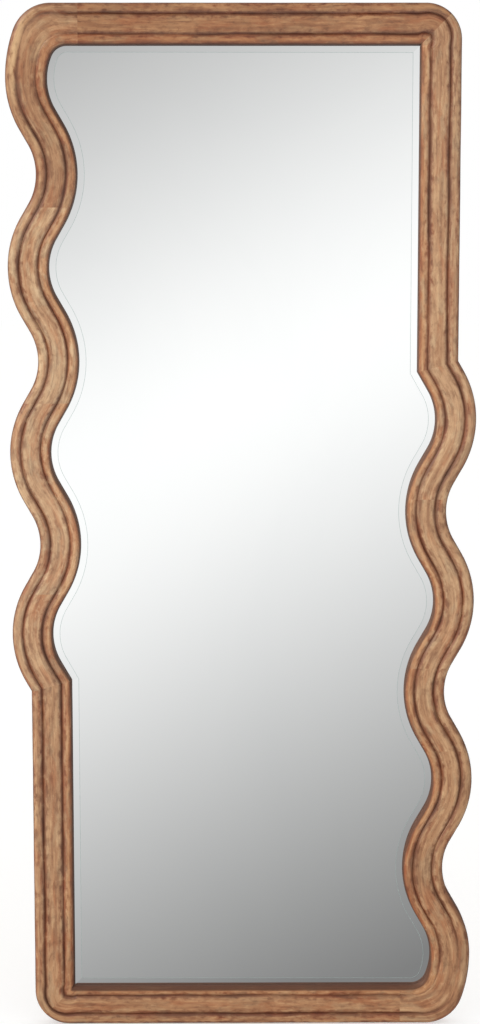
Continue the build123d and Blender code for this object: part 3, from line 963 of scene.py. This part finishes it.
    def crown(self, s: float, station: Station) -> float:
        """How near a section line is to the top of its band, 0 to 1, which tells less where the grooves end.
        The finish paints shade down each band's flanks and a highlight along its top by it.

        Args:
            s: the section line.
            station: the section along the rail.

        Returns:
            The share.
        """
        flank = 0.0
        for rim, reach, depth in ((-self.half, 8 * MM, 1.0), (self.outer_groove, 9 * MM, station.outer_cut),
                                  (self.inner_groove, 9 * MM, station.inner_cut), (self.half, 7 * MM, 1.0)):
            flank = max(flank, depth * max(0.0, 1 - abs(s - rim) / reach) ** 1.2)
        return 1 - flank

    def edge_wobble(self, s: float, along: float) -> float:
        """How far the carver's edge strays inwards at a section line near either edge."""
        if s < -self.half + self.outer_stray_reach:
            share = 1 - (s + self.half) / self.outer_stray_reach
            return share * self.outer_stray * (0.5 + 0.5 * self.rough(along, 3.1, 15.0, 1))
        if s > self.half - self.inner_stray_reach:
            share = 1 - (self.half - s) / self.inner_stray_reach
            return -share * self.inner_stray * (0.5 + 0.5 * self.rough(along, 5.7, 14.0, 1))
        return 0.0


def solid_shell(mesh: bmesh.types.BMesh, sharp: float, name: str,
                finish: Sequence[bpy.types.Material]) -> bpy.types.Object:
    """Turns a closed bmesh into a piece with smooth faces and sharp edges.

    Args:
        mesh: the finished bmesh, which is freed.
        sharp: the angle over which an edge is sharp, in degrees.
        name: the piece's name.
        finish: its materials in slot order.

    Returns:
        The piece.
    """
    data = bpy.data.meshes.new(name)
    mesh.to_mesh(data)
    mesh.free()
    for polygon in data.polygons:
        polygon.use_smooth = True
    data.set_sharp_from_angle(angle=math.radians(sharp))
    for material in finish:
        data.materials.append(material)
    piece = bpy.data.objects.new(name, data)
    bpy.context.scene.collection.objects.link(piece)
    return piece


def closed_outwards(mesh: bmesh.types.BMesh, weld: float = 1e-6) -> None:
    """Merges doubles and turns every face outwards.

    Args:
        mesh: the bmesh.
        weld: how near two vertices are to be one.
    """
    bmesh.ops.remove_doubles(mesh, verts=mesh.verts[:], dist=weld)
    bmesh.ops.recalc_face_normals(mesh, faces=mesh.faces[:])


def fit(piece: bpy.types.Object, body: str, node: str) -> bpy.types.Object:
    """Puts a finished piece in its CAD node's place and logs it.

    Args:
        piece: the piece.
        body: the body that it rides on.
        node: the node that it stands for.

    Returns:
        The piece.
    """
    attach(piece, body)
    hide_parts(node)
    LOG.info("%s: %d faces", piece.name, len(piece.data.polygons))
    return piece


@dataclass
class CarvedFrame:
    """The twelve wooden pieces of the frame, carved along the two half-turn halves."""

    plan: Plan
    finish: CarvedWood
    step: float = 2.4 * MM
    hairline: float = 0.02 * MM
    left_joints: tuple[float, ...] = (1.36, 3.46, 5.55)
    right_joints: tuple[float, ...] = (2.33, 3.26, 5.13)
    tones: dict[str, float] = field(default_factory=lambda: {
        "top_rail": 0.95, "right_stile": 0.42, "bottom_rail": 0.75, "left_stile": 0.55,
        "left_corner_block": 0.62, "left_wave_block_2": 0.05,
        "left_wave_block_3": 0.20, "left_wave_block_4": 0.35,
        "right_corner_block": 0.55, "right_wave_block_2": 0.50,
        "right_wave_block_3": 0.35, "right_wave_block_4": 0.30})
    left_seed: float = 3.7
    right_seed: float = 19.3
    # how much painted shade the hidden faces get
    hidden_shade: float = 0.45

    def build(self) -> list[bpy.types.Object]:
        """Carves and dresses every piece.

        Returns:
            The twelve pieces.
        """
        wood = self.finish.material()
        lines = RailLines(self.plan, self.step)
        pieces = []
        halves = ((Side.LEFT, self.left_joints, "bottom_rail", self.left_seed),
                  (Side.RIGHT, self.right_joints, "top_rail", self.right_seed))
        for side, joints, rail, seed in halves:
            moulding = Moulding(self.plan.half, self.plan.depth, seed)
            wave = lines.run(lines.corner_legs() + lines.wave_legs(), 0.0)
            stile = lines.run(lines.stile_legs(), wave[-1].along)
            foot = lines.run(lines.rail_legs(), stile[-1].along)
            blank = self.carve(moulding, wave, side)
            names = [f"{side.value}_corner_block"] + [f"{side.value}_wave_block_{n}" for n in (2, 3, 4)]
            made = dict(zip(names, self.saw_into_blocks(blank, joints, side)))
            made[f"{side.value}_stile"] = self.carve(moulding, stile, side)
            made[rail] = self.carve(moulding, foot, side)
            pieces += [self.dress(name, mesh, wood) for name, mesh in made.items()]
        return pieces

    def carve(self, moulding: Moulding, stations: Sequence[Station], side: Side) -> bmesh.types.BMesh:
        """Wraps a grid round the sections of a rail and closes it.

        Args:
            moulding: the section.
            stations: the sections in order.
            side: which half it is on.

        Returns:
            The closed bmesh, with the marks that the finish reads.
        """
        fronts, hidden = moulding.front_lines(), moulding.hidden_lines()
        around_count = len(fronts) + len(hidden)
        mesh = bmesh.new()
        bmesh.ops.create_grid(mesh, x_segments=around_count, y_segments=len(stations) - 1, size=0.5)
        names = ("along", "girth", "shift", "stain_and_shade", "wear_and_highlight", "tone", "amber", "crown")
        marks = {name: mesh.verts.layers.float.new(name) for name in names}
        girth = self.girths(moulding)
        facing = 1 if side is Side.LEFT else -1
        outward = [facing * (station.outer - station.inner).normalized() for station in stations]
        rises = [max(0.0, line[1]) for line in outward]
        lits = [max(0.0, -line[0]) for line in outward]
        for vert in mesh.verts:
            column = round((vert.co.x + 0.5) * around_count)
            row = round((vert.co.y + 0.5) * (len(stations) - 1))
            station = stations[row]
            line = column % around_count
            stain_and_shade = wear_and_highlight = 0.0
            if line < len(fronts):
                s, w, stain_and_shade, wear_and_highlight = moulding.front(fronts[line], station, rises[row], lits[row])
                s += moulding.edge_wobble(fronts[line], station.along)
            else:
                s, w = hidden[line - len(fronts)]
                s += moulding.edge_wobble(s, station.along) if abs(s) == moulding.half else 0.0
                # painted shade: full on the lip's underside over the glass, less on the other hidden faces
                stain_and_shade = 1.0 if w >= moulding.lip_back else self.hidden_shade
            vert.co = self.plan.lay(station.at(s, moulding.half, moulding.middle), w, side)
            place = fronts[line] if line < len(fronts) else -moulding.half
            values = {"along": station.along, "girth": girth[line], "stain_and_shade": stain_and_shade, "wear_and_highlight": wear_and_highlight,
                      "amber": float(place > moulding.inner_groove), "crown": moulding.crown(place, station)}
            for name, value in values.items():
                vert[marks[name]] = value
        closed_outwards(mesh)
        self.cap(mesh)
        return mesh

    @staticmethod
    def girths(moulding: Moulding) -> list[float]:
        """How far round the section each of its lines is."""
        places = [(s, moulding.depth) for s in moulding.front_lines()] + moulding.hidden_lines()
        found = [0.0]
        for (s0, w0), (s1, w1) in zip(places, places[1:]):
            found.append(found[-1] + math.hypot(s1 - s0, w1 - w0))
        return found

    @staticmethod
    def cap(mesh: bmesh.types.BMesh) -> None:
        """Closes the open ends and turns the faces outwards."""
        open_edges = [edge for edge in mesh.edges if edge.is_boundary]
        if open_edges:
            bmesh.ops.edgeloop_fill(mesh, edges=open_edges)
        bmesh.ops.recalc_face_normals(mesh, faces=mesh.faces[:])

    def saw_into_blocks(self, blank: bmesh.types.BMesh, joints: Sequence[float],
                        side: Side) -> list[bmesh.types.BMesh]:
        """Saws the wavy blank square across at each joint, leaving a hairline.

        Args:
            blank: the whole wave, which is freed.
            joints: where each joint is, in half waves from the first bulge.
            side: which half the blank is on.

        Returns:
            The blocks, from the corner block on.
        """
        drops = [self.plan.first_bulge + place * self.plan.half_wave for place in joints]
        levels = [self.plan.lay(Vector((0, down)), 0, side).z for down in drops]
        sign = 1 if side is Side.LEFT else -1
        blocks = []
        for index in range(len(levels) + 1):
            block = blank.copy()
            if index < len(levels):
                self.saw(block, levels[index] + sign * self.hairline, -sign)
            if index:
                self.saw(block, levels[index - 1] - sign * self.hairline, sign)
            self.cap(block)
            blocks.append(block)
        blank.free()
        return blocks

    @staticmethod
    def saw(block: bmesh.types.BMesh, level: float, waste: int) -> None:
        """Cuts off what lies over (waste 1) or under (waste -1) a level."""
        bmesh.ops.bisect_plane(block, geom=block.verts[:] + block.edges[:] + block.faces[:], dist=1e-7,
                               plane_co=(0, 0, level), plane_no=(0, 0, waste),
                               clear_outer=True, clear_inner=False)

    def dress(self, name: str, mesh: bmesh.types.BMesh, wood: bpy.types.Material) -> bpy.types.Object:
        """Marks how deep a block's stain is, finishes it and lets it stand for its node.

        Args:
            name: the CAD node's name.
            mesh: the block's bmesh.
            wood: the finish.

        Returns:
            The piece.
        """
        order = list(self.tones).index(name)
        tone, shift = mesh.verts.layers.float["tone"], mesh.verts.layers.float["shift"]
        for vert in mesh.verts:
            vert[tone] = self.tones[name]
            vert[shift] = 0.37 * order
        piece = solid_shell(mesh, 40.0, f"carved_{name}", [wood])
        return fit(piece, "frame", name)


@dataclass
class MirrorPane:
    """The silvered glass with its ground bevel, behind the carved lip."""

    SILVERED: ClassVar[int] = 0
    GROUND: ClassVar[int] = 1
    PAINTED: ClassVar[int] = 2

    plan: Plan
    lines: RailLines
    face: SilveredGlass
    edge: GroundGlass
    paint: BackPaint
    overlap: float = 8.0 * MM
    bevel_width: float = 20.5 * MM
    bevel_drop: float = 1.4 * MM
    arris: float = 0.35 * MM
    step: float = 2.0 * MM

    def outline(self, growth: float, y: float) -> list[Vector]:
        """The glass's outline, grown out of the sight edge, at one depth.

        Args:
            growth: how far out of the sight edge.
            y: the depth in the object's frame.

        Returns:
            The points all the way round.
        """
        places = self.lines.sight_line(growth, self.step)
        points = [self.plan.lay(place, 0.0, side) for side in (Side.LEFT, Side.RIGHT) for place in places]
        return [Vector((point.x, y, point.z)) for point in points]

    def build(self) -> bpy.types.Object:
        """Grinds the glass out of one face and dresses it.

        Returns:
            The piece.
        """
        low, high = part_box("mirror_glass")
        front, back = low.y, high.y
        tilt = self.bevel_drop / self.bevel_width
        rings = [
            (self.overlap, back),
            (self.overlap, front + self.bevel_drop),
            (self.overlap - self.bevel_width + self.arris, front + tilt * self.arris * 0.75),
            (self.overlap - self.bevel_width - self.arris, front),
        ]
        mesh = bmesh.new()
        outlines = [self.outline(growth, y) for growth, y in rings]
        bmesh.ops.create_circle(mesh, cap_ends=True, segments=len(outlines[0]), radius=1.0)
        mesh.verts.ensure_lookup_table()
        loop = list(mesh.verts)
        for vert, point in zip(loop, outlines[0]):
            vert.co = point
        face = mesh.faces[:][0]
        face.material_index = self.PAINTED
        for index, outline in enumerate(outlines[1:]):
            grown = bmesh.ops.extrude_face_region(mesh, geom=[face], use_keep_orig=index == 0)
            face = next(item for item in grown["geom"] if isinstance(item, bmesh.types.BMFace))
            fresh = self.partners(face, loop)
            for vert, point in zip(loop, outline):
                fresh[vert].co = point
            loop = [fresh[vert] for vert in loop]
            for edge in face.edges:
                for ring_face in edge.link_faces:
                    if ring_face is not face:
                        ring_face.material_index = (self.GROUND, self.SILVERED, self.GROUND)[index]
            face.material_index = self.SILVERED
        bmesh.ops.recalc_face_normals(mesh, faces=mesh.faces[:])
        piece = solid_shell(mesh, 0.9, "bevelled_mirror_glass",
                            [self.face.material(), self.edge.material(), self.paint.material()])
        return fit(piece, "frame", "mirror_glass")

    @staticmethod
    def partners(face: bmesh.types.BMFace, loop: Sequence[bmesh.types.BMVert]) -> dict:
        """The new vertex over each old one after a face is extruded.

        Args:
            face: the extruded face.
            loop: the old vertices.

        Returns:
            New vertices by old.
        """
        old = set(loop)
        found = {}
        for vert in face.verts:
            for edge in vert.link_edges:
                other = edge.other_vert(vert)
                if other in old:
                    found[other] = vert
        return found


# --------------------------------------------------------------- the fittings


@dataclass
class WireBender:
    """Bends round wire, one straight run or bend after another."""

    mesh: bmesh.types.BMesh
    edges: list[bmesh.types.BMEdge]

    @classmethod
    def start(cls, radius: float, segments: int) -> "WireBender":
        """Starts a wire that heads along +X from the origin.

        Args:
            radius: the wire's radius.
            segments: how many sides it has.

        Returns:
            The bender.
        """
        mesh = bmesh.new()
        made = bmesh.ops.create_circle(mesh, cap_ends=False, segments=segments, radius=radius,
                                       matrix=Matrix.Rotation(math.pi / 2, 4, "Y"))
        edges = list({edge for vert in made["verts"] for edge in vert.link_edges})
        return cls(mesh, edges)

    def run(self, move: Vector) -> None:
        """Draws the wire straight on."""
        grown = bmesh.ops.extrude_edge_only(self.mesh, edges=self.edges)["geom"]
        drawn = [item for item in grown if isinstance(item, bmesh.types.BMVert)]
        bmesh.ops.translate(self.mesh, verts=drawn, vec=move)
        self.edges = [item for item in grown if isinstance(item, bmesh.types.BMEdge)]

    def bend(self, centre: Vector, degrees: float, steps: int) -> None:
        """Bends the wire round a centre, about the axis towards the viewer.

        Args:
            centre: the bend's centre.
            degrees: how far it goes round.
            steps: in how many steps.
        """
        grown = bmesh.ops.spin(self.mesh, geom=self.edges, cent=centre, axis=(0, 1, 0), dvec=(0, 0, 0),
                               angle=math.radians(degrees), steps=steps, use_merge=False, use_duplicate=False)
        self.edges = [item for item in grown["geom_last"] if isinstance(item, bmesh.types.BMEdge)]


@dataclass
class Fittings:
    """The steel and rubber on the back: ring hangers, screws and wall bumpers."""

    plan: Plan
    steel: bpy.types.Material
    rubber: bpy.types.Material
    ring_wire: float = 4.0 * MM
    ring_width: float = 26.0 * MM
    ring_side: float = 12.0 * MM
    ring_bend: float = 4.0 * MM
    ring_tilt: float = math.radians(3)
    screw_head: float = 7.0 * MM
    screw_shank: float = 3.5 * MM
    screw_head_height: float = 2.2 * MM
    recess_reach: float = 2.1 * MM
    recess_width: float = 0.75 * MM
    recess_depth: float = 1.3 * MM
    dish: float = 0.25 * MM
    panel_screw_length: float = 16.0 * MM
    hanger_screw_length: float = 20.0 * MM
    bumper_radius: float = 9.0 * MM

    def ring(self, side: Side) -> bpy.types.Object:
        """Bends one D ring, closed inside its knuckle, and hangs it.

        Args:
            side: which hanger it belongs to.

        Returns:
            The piece.
        """
        node = f"{side.value}_hanger_ring"
        low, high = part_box(node)
        wide, bend = self.ring_width / 2, self.ring_bend
        wire = WireBender.start(self.ring_wire / 2, 20)
        wire.run(Vector((wide - bend, 0, 0)))
        wire.bend(Vector((wide - bend, 0, -bend)), 90, 8)
        wire.run(Vector((0, 0, bend - self.ring_side)))
        wire.bend(Vector((0, 0, -self.ring_side)), 180, 36)
        wire.run(Vector((0, 0, self.ring_side - bend)))
        wire.bend(Vector((bend - wide, 0, -bend)), 90, 8)
        wire.run(Vector((wide - bend, 0, 0)))
        mesh = wire.mesh
        closed_outwards(mesh, 1e-5)
        bmesh.ops.rotate(mesh, verts=mesh.verts[:], cent=(0, 0, 0),
                         matrix=Matrix.Rotation(self.ring_tilt, 3, "X"))
        spot = ((low.x + high.x) / 2, low.y + self.ring_wire / 2, high.z - self.ring_wire / 2)
        bmesh.ops.translate(mesh, verts=mesh.verts[:], vec=spot)
        piece = solid_shell(mesh, 60.0, f"bent_{node}", [self.steel])
        return fit(piece, f"{side.value}_ring", node)

    def screw_head_mesh(self, length: float) -> bmesh.types.BMesh:
        """Turns a countersunk screw that points along -Y from its head's face, with a cross recess.

        Args:
            length: the screw's length.

        Returns:
            The bmesh.
        """
        mesh = bmesh.new()
        head, shank = self.screw_head / 2, self.screw_shank / 2
        profile = [(head - self.dish, 0.0), (head, -self.dish), (shank, -self.screw_head_height),
                   (shank, -length + 4 * MM), (0.0, -length)]
        verts = [mesh.verts.new((radius, y, 0)) for radius, y in profile]
        edges = [mesh.edges.new(pair) for pair in zip(verts, verts[1:])]
        bmesh.ops.spin(mesh, geom=verts + edges, cent=(0, 0, 0), axis=(0, 1, 0), dvec=(0, 0, 0),
                       angle=FULL_TURN, steps=20, use_merge=True, use_duplicate=False)
        bmesh.ops.remove_doubles(mesh, verts=mesh.verts[:], dist=1e-6)
        rim = [edge for edge in mesh.edges if edge.is_boundary]
        reach, width = self.recess_reach, self.recess_width / 2
        cross = [(reach, width), (width, width), (width, reach)]
        corners = []
        for quarter in range(4):
            turn = Matrix.Rotation(quarter * math.pi / 2, 2)
            corners += [turn @ Vector(corner) for corner in cross]
        top = [mesh.verts.new((corner[0], 0, corner[1])) for corner in corners]
        lip = [mesh.edges.new((top[index - 1], top[index])) for index in range(len(top))]
        bmesh.ops.triangle_fill(mesh, use_beauty=True, edges=rim + lip)
        sunk = bmesh.ops.extrude_edge_only(mesh, edges=lip)["geom"]
        floor = [item for item in sunk if isinstance(item, bmesh.types.BMVert)]
        bmesh.ops.scale(mesh, verts=floor, vec=(0.55, 1, 0.55))
        bmesh.ops.translate(mesh, verts=floor, vec=(0, -self.recess_depth, 0))
        bmesh.ops.edgeloop_fill(mesh, edges=[item for item in sunk if isinstance(item, bmesh.types.BMEdge)])
        bmesh.ops.recalc_face_normals(mesh, faces=mesh.faces[:])
        return mesh

    def screws(self, node: str, length: float) -> bpy.types.Object:
        """Drives a screw wherever the node has one, each turned its own way.

        Args:
            node: the CAD node that holds the screws.
            length: each screw's length.

        Returns:
            The piece.
        """
        whole = bmesh.new()
        for count, (x, y, z) in enumerate(self.heads(node)):
            one = self.screw_head_mesh(length)
            turn = Matrix.Rotation(0.7 + 1.9 * count, 4, "Y")
            bmesh.ops.transform(one, verts=one.verts[:], matrix=Matrix.Translation((x, y, z)) @ turn)
            held = bpy.data.meshes.new("one_screw")
            one.to_mesh(held)
            one.free()
            whole.from_mesh(held)
            bpy.data.meshes.remove(held)
        piece = solid_shell(whole, 35.0, f"driven_{node}", [self.steel])
        return fit(piece, "frame", node)

    @staticmethod
    def heads(node: str) -> list[tuple[float, float, float]]:
        """The middle of each screw's or bumper's outer face, read from the CAD node's mesh."""
        mesh = bmesh.new()
        mesh.from_mesh(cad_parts[node].data)
        bmesh.ops.remove_doubles(mesh, verts=mesh.verts[:], dist=1e-6)
        left = set(mesh.verts)
        found = []
        while left:
            island, front = set(), [next(iter(left))]
            while front:
                vert = front.pop()
                if vert not in island:
                    island.add(vert)
                    front += [edge.other_vert(vert) for edge in vert.link_edges]
            left -= island
            xs, ys, zs = ([vert.co[axis] for vert in island] for axis in range(3))
            found.append(((min(xs) + max(xs)) / 2, max(ys), (min(zs) + max(zs)) / 2))
        mesh.free()
        return sorted(found)

    def bumpers(self) -> bpy.types.Object:
        """Spins the four rubber bumpers, each with a moulded collar and a softly domed face.

        Returns:
            The piece.
        """
        _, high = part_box("wall_bumpers")
        height = high.y - self.plan.back
        whole = bmesh.new()
        radius = self.bumper_radius
        profile = [(0.0, 0.0), (radius, 0.0), (radius, 0.22 * height), (radius - 0.5 * MM, 0.30 * height),
                   (radius - 0.8 * MM, 0.74 * height), (radius - 1.3 * MM, 0.88 * height),
                   (radius - 2.4 * MM, 0.97 * height), (radius - 3.6 * MM, height), (0.0, height)]
        for x, _, z in self.heads("wall_bumpers"):
            verts = [whole.verts.new((x + reach, self.plan.back + rise, z)) for reach, rise in profile]
            edges = [whole.edges.new(pair) for pair in zip(verts, verts[1:])]
            bmesh.ops.spin(whole, geom=verts + edges, cent=(x, 0, z), axis=(0, 1, 0), dvec=(0, 0, 0),
                           angle=FULL_TURN, steps=48, use_merge=True, use_duplicate=False)
        closed_outwards(whole)
        piece = solid_shell(whole, 35.0, "moulded_wall_bumpers", [self.rubber])
        return fit(piece, "frame", "wall_bumpers")

    def build(self) -> list[bpy.types.Object]:
        """Makes every fitting.

        Returns:
            The pieces.
        """
        return [self.ring(Side.LEFT), self.ring(Side.RIGHT),
                self.screws("panel_screws", self.panel_screw_length),
                self.screws("hanger_screws", self.hanger_screw_length), self.bumpers()]


@dataclass(frozen=True)
class PlainNodes:
    """The CAD nodes that keep their own shape and only get a finish."""

    finishes: dict[str, bpy.types.Material]

    def dress(self) -> None:
        """Puts each finish on its node."""
        for name, material in self.finishes.items():
            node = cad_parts[name]
            node.data.materials.clear()
            node.data.materials.append(material)
            LOG.info("%s: kept as the CAD has it, finish %s", name, material.name)


# ------------------------------------------------------------------ the studio


@dataclass(frozen=True)
class Studio:
    """The pale floor, the soft lights, the card that the glass looks at, and the camera."""

    plan: Plan
    focal: float = 2000.0
    camera_from_front: float = 3.431
    camera_height: float = 1.3126
    camera_across: float = -0.0214
    yaw: float = 0.00465
    pitch: float = -0.11445
    roll: float = -0.00068
    card_out: float = 0.35
    card_reach: float = 7.0
    glass_share: float = 0.92
    air: float = 0.52
    window_power: float = 2.3
    window_from: tuple[float, float, float] = (-0.72, -0.42, 0.60)
    band_height: float = 1.12
    band_lean: float = 0.5
    band_softness: float = 0.28
    band_fall: float = 0.54
    dimmest: float = 0.5
    floor_reach: float = 60.0
    floor_drop: float = 0.4 * MM

    def build(self) -> None:
        """Sets up the whole studio."""
        self.floor()
        self.card()
        self.lights()
        self.camera()
        bpy.context.scene.view_settings.view_transform = "Standard"

    def floor(self) -> None:
        """Lays the pale floor under the mirror."""
        mesh = bmesh.new()
        bmesh.ops.create_grid(mesh, x_segments=8, y_segments=8, size=self.floor_reach)
        bmesh.ops.translate(mesh, verts=mesh.verts[:], vec=(0, 0, -self.floor_drop))
        recipe = Recipe("studio_floor")
        cloud = recipe.noise(recipe.places(), 1.4, 2.0, 0.5)
        colour = recipe.mix(cloud, tint(250, 250, 249), tint(247, 247, 246))
        material = recipe.surface(colour, 0.75 + 0.1 * cloud,
                                  Emission_Color=tint(255, 255, 255), Emission_Strength=0.14)
        piece = solid_shell(mesh, 30.0, "studio_floor", [material])
        piece.visible_glossy = False

    def card(self) -> None:
        """Hangs the card that only reflections see: a leaning band of light, dimmer evenly on both sides."""
        gain = (self.camera_from_front + self.card_out) / self.camera_from_front
        mesh = bmesh.new()
        spot = (0, -self.card_out + self.plan.back - self.plan.depth, self.camera_height)
        stand = Matrix.Translation(spot) @ Matrix.Rotation(math.pi / 2, 4, "X")
        bmesh.ops.create_grid(mesh, x_segments=1, y_segments=1, size=self.card_reach, matrix=stand)
        recipe = Recipe("studio_card")
        places = recipe.places()
        across = self.camera_across + (recipe.part(places, 0) - self.camera_across) / gain
        level = self.camera_height + (recipe.part(places, 2) - self.camera_height) / gain
        away = level - self.band_height - self.band_lean * across
        fall = (away * away + self.band_softness ** 2) ** 0.5 - self.band_softness
        shown = recipe.node("ShaderNodeClamp", None,
                            {"Value": 1 - self.band_fall * fall, "Min": self.dimmest, "Max": 1.0})
        light = as_light(Wire(recipe, shown.outputs[0]))
        material = recipe.glow(recipe.vector(light, light, light), 1.0 / self.glass_share)
        piece = solid_shell(mesh, 30.0, "studio_card", [material])
        piece.visible_camera = piece.visible_diffuse = False
        piece.visible_shadow = piece.visible_transmission = False

    def lights(self) -> None:
        """Hangs the soft lights and a plain bright world."""
        world = bpy.data.worlds.new("studio_world")
        world.use_nodes = True
        tree = world.node_tree
        tree.nodes.clear()
        seen, given = (tree.nodes.new("ShaderNodeBackground") for _ in range(2))
        seen.inputs["Strength"].default_value = 1.0
        given.inputs["Strength"].default_value = self.air
        seen.inputs["Color"].default_value = given.inputs["Color"].default_value = (1.0, 1.0, 1.0, 1.0)
        rays, choice = tree.nodes.new("ShaderNodeLightPath"), tree.nodes.new("ShaderNodeMixShader")
        tree.links.new(rays.outputs["Is Camera Ray"], choice.inputs[0])
        tree.links.new(given.outputs[0], choice.inputs[1])
        tree.links.new(seen.outputs[0], choice.inputs[2])
        tree.links.new(choice.outputs[0], tree.nodes.new("ShaderNodeOutputWorld").inputs[0])
        bpy.context.scene.world = world
        window = bpy.data.lights.new("window_light", "SUN")
        window.energy = self.window_power
        window.angle = math.radians(20)
        window.use_shadow = False
        holder = bpy.data.objects.new("window_light", window)
        holder.rotation_euler = Vector(self.window_from).to_track_quat("Z", "Y").to_euler()
        bpy.context.scene.collection.objects.link(holder)

    def camera(self) -> None:
        """Puts the camera where the photographer stood."""
        ahead = math.cos(self.pitch)
        forward = Vector((math.sin(self.yaw) * ahead, math.cos(self.yaw) * ahead, math.sin(self.pitch)))
        level = Vector((math.cos(self.yaw), -math.sin(self.yaw), 0))
        upright = level.cross(forward)
        right = level * math.cos(self.roll) + upright * math.sin(self.roll)
        up = upright * math.cos(self.roll) - level * math.sin(self.roll)
        lens = bpy.data.cameras.new("camera")
        lens.sensor_fit = "VERTICAL"
        lens.sensor_height = 24.0
        lens.lens = self.focal / PICTURE_SIZE[1] * lens.sensor_height
        lens.clip_end = 100.0
        holder = bpy.data.objects.new("camera", lens)
        turn = Matrix((right, up, -forward)).transposed().to_4x4()
        front = self.plan.back - self.plan.depth
        spot = (self.camera_across, front - self.camera_from_front, self.camera_height)
        holder.matrix_world = Matrix.Translation(spot) @ turn
        bpy.context.scene.collection.objects.link(holder)
        bpy.context.scene.camera = holder


def read_plan() -> Plan:
    """The frame's sizes, worked out from the CAD nodes' boxes."""
    low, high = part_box("right_stile")
    _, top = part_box("top_rail")
    return Plan(height=top.z, width=2 * high.x, rail=high.x - low.x, depth=high.y - low.y, back=high.y)


def main() -> None:
    """Builds the mirror sub-assembly by sub-assembly and logs the face count of each piece it makes."""
    logging.basicConfig(level=logging.INFO, format="%(message)s")
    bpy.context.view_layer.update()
    plan = read_plan()
    Studio(plan).build()
    CarvedFrame(plan, CarvedWood()).build()
    MirrorPane(plan, RailLines(plan, 2.0 * MM), SilveredGlass(), GroundGlass(), BackPaint()).build()
    steel, rubber, beech = ZincSteel().material(), BlackRubber().material(), BareTimber().material()
    Fittings(plan, steel, rubber).build()
    PlainNodes({
        "left_hanger_strap": steel, "right_hanger_strap": steel, "backing_panel": Fibreboard().material(),
        "filler_pads": PackingFoam().material(), "setting_blocks": rubber, "left_dowels": beech,
        "right_dowels": beech, "mitre_splines": beech}).dress()


if __name__ == "__main__":
    main()
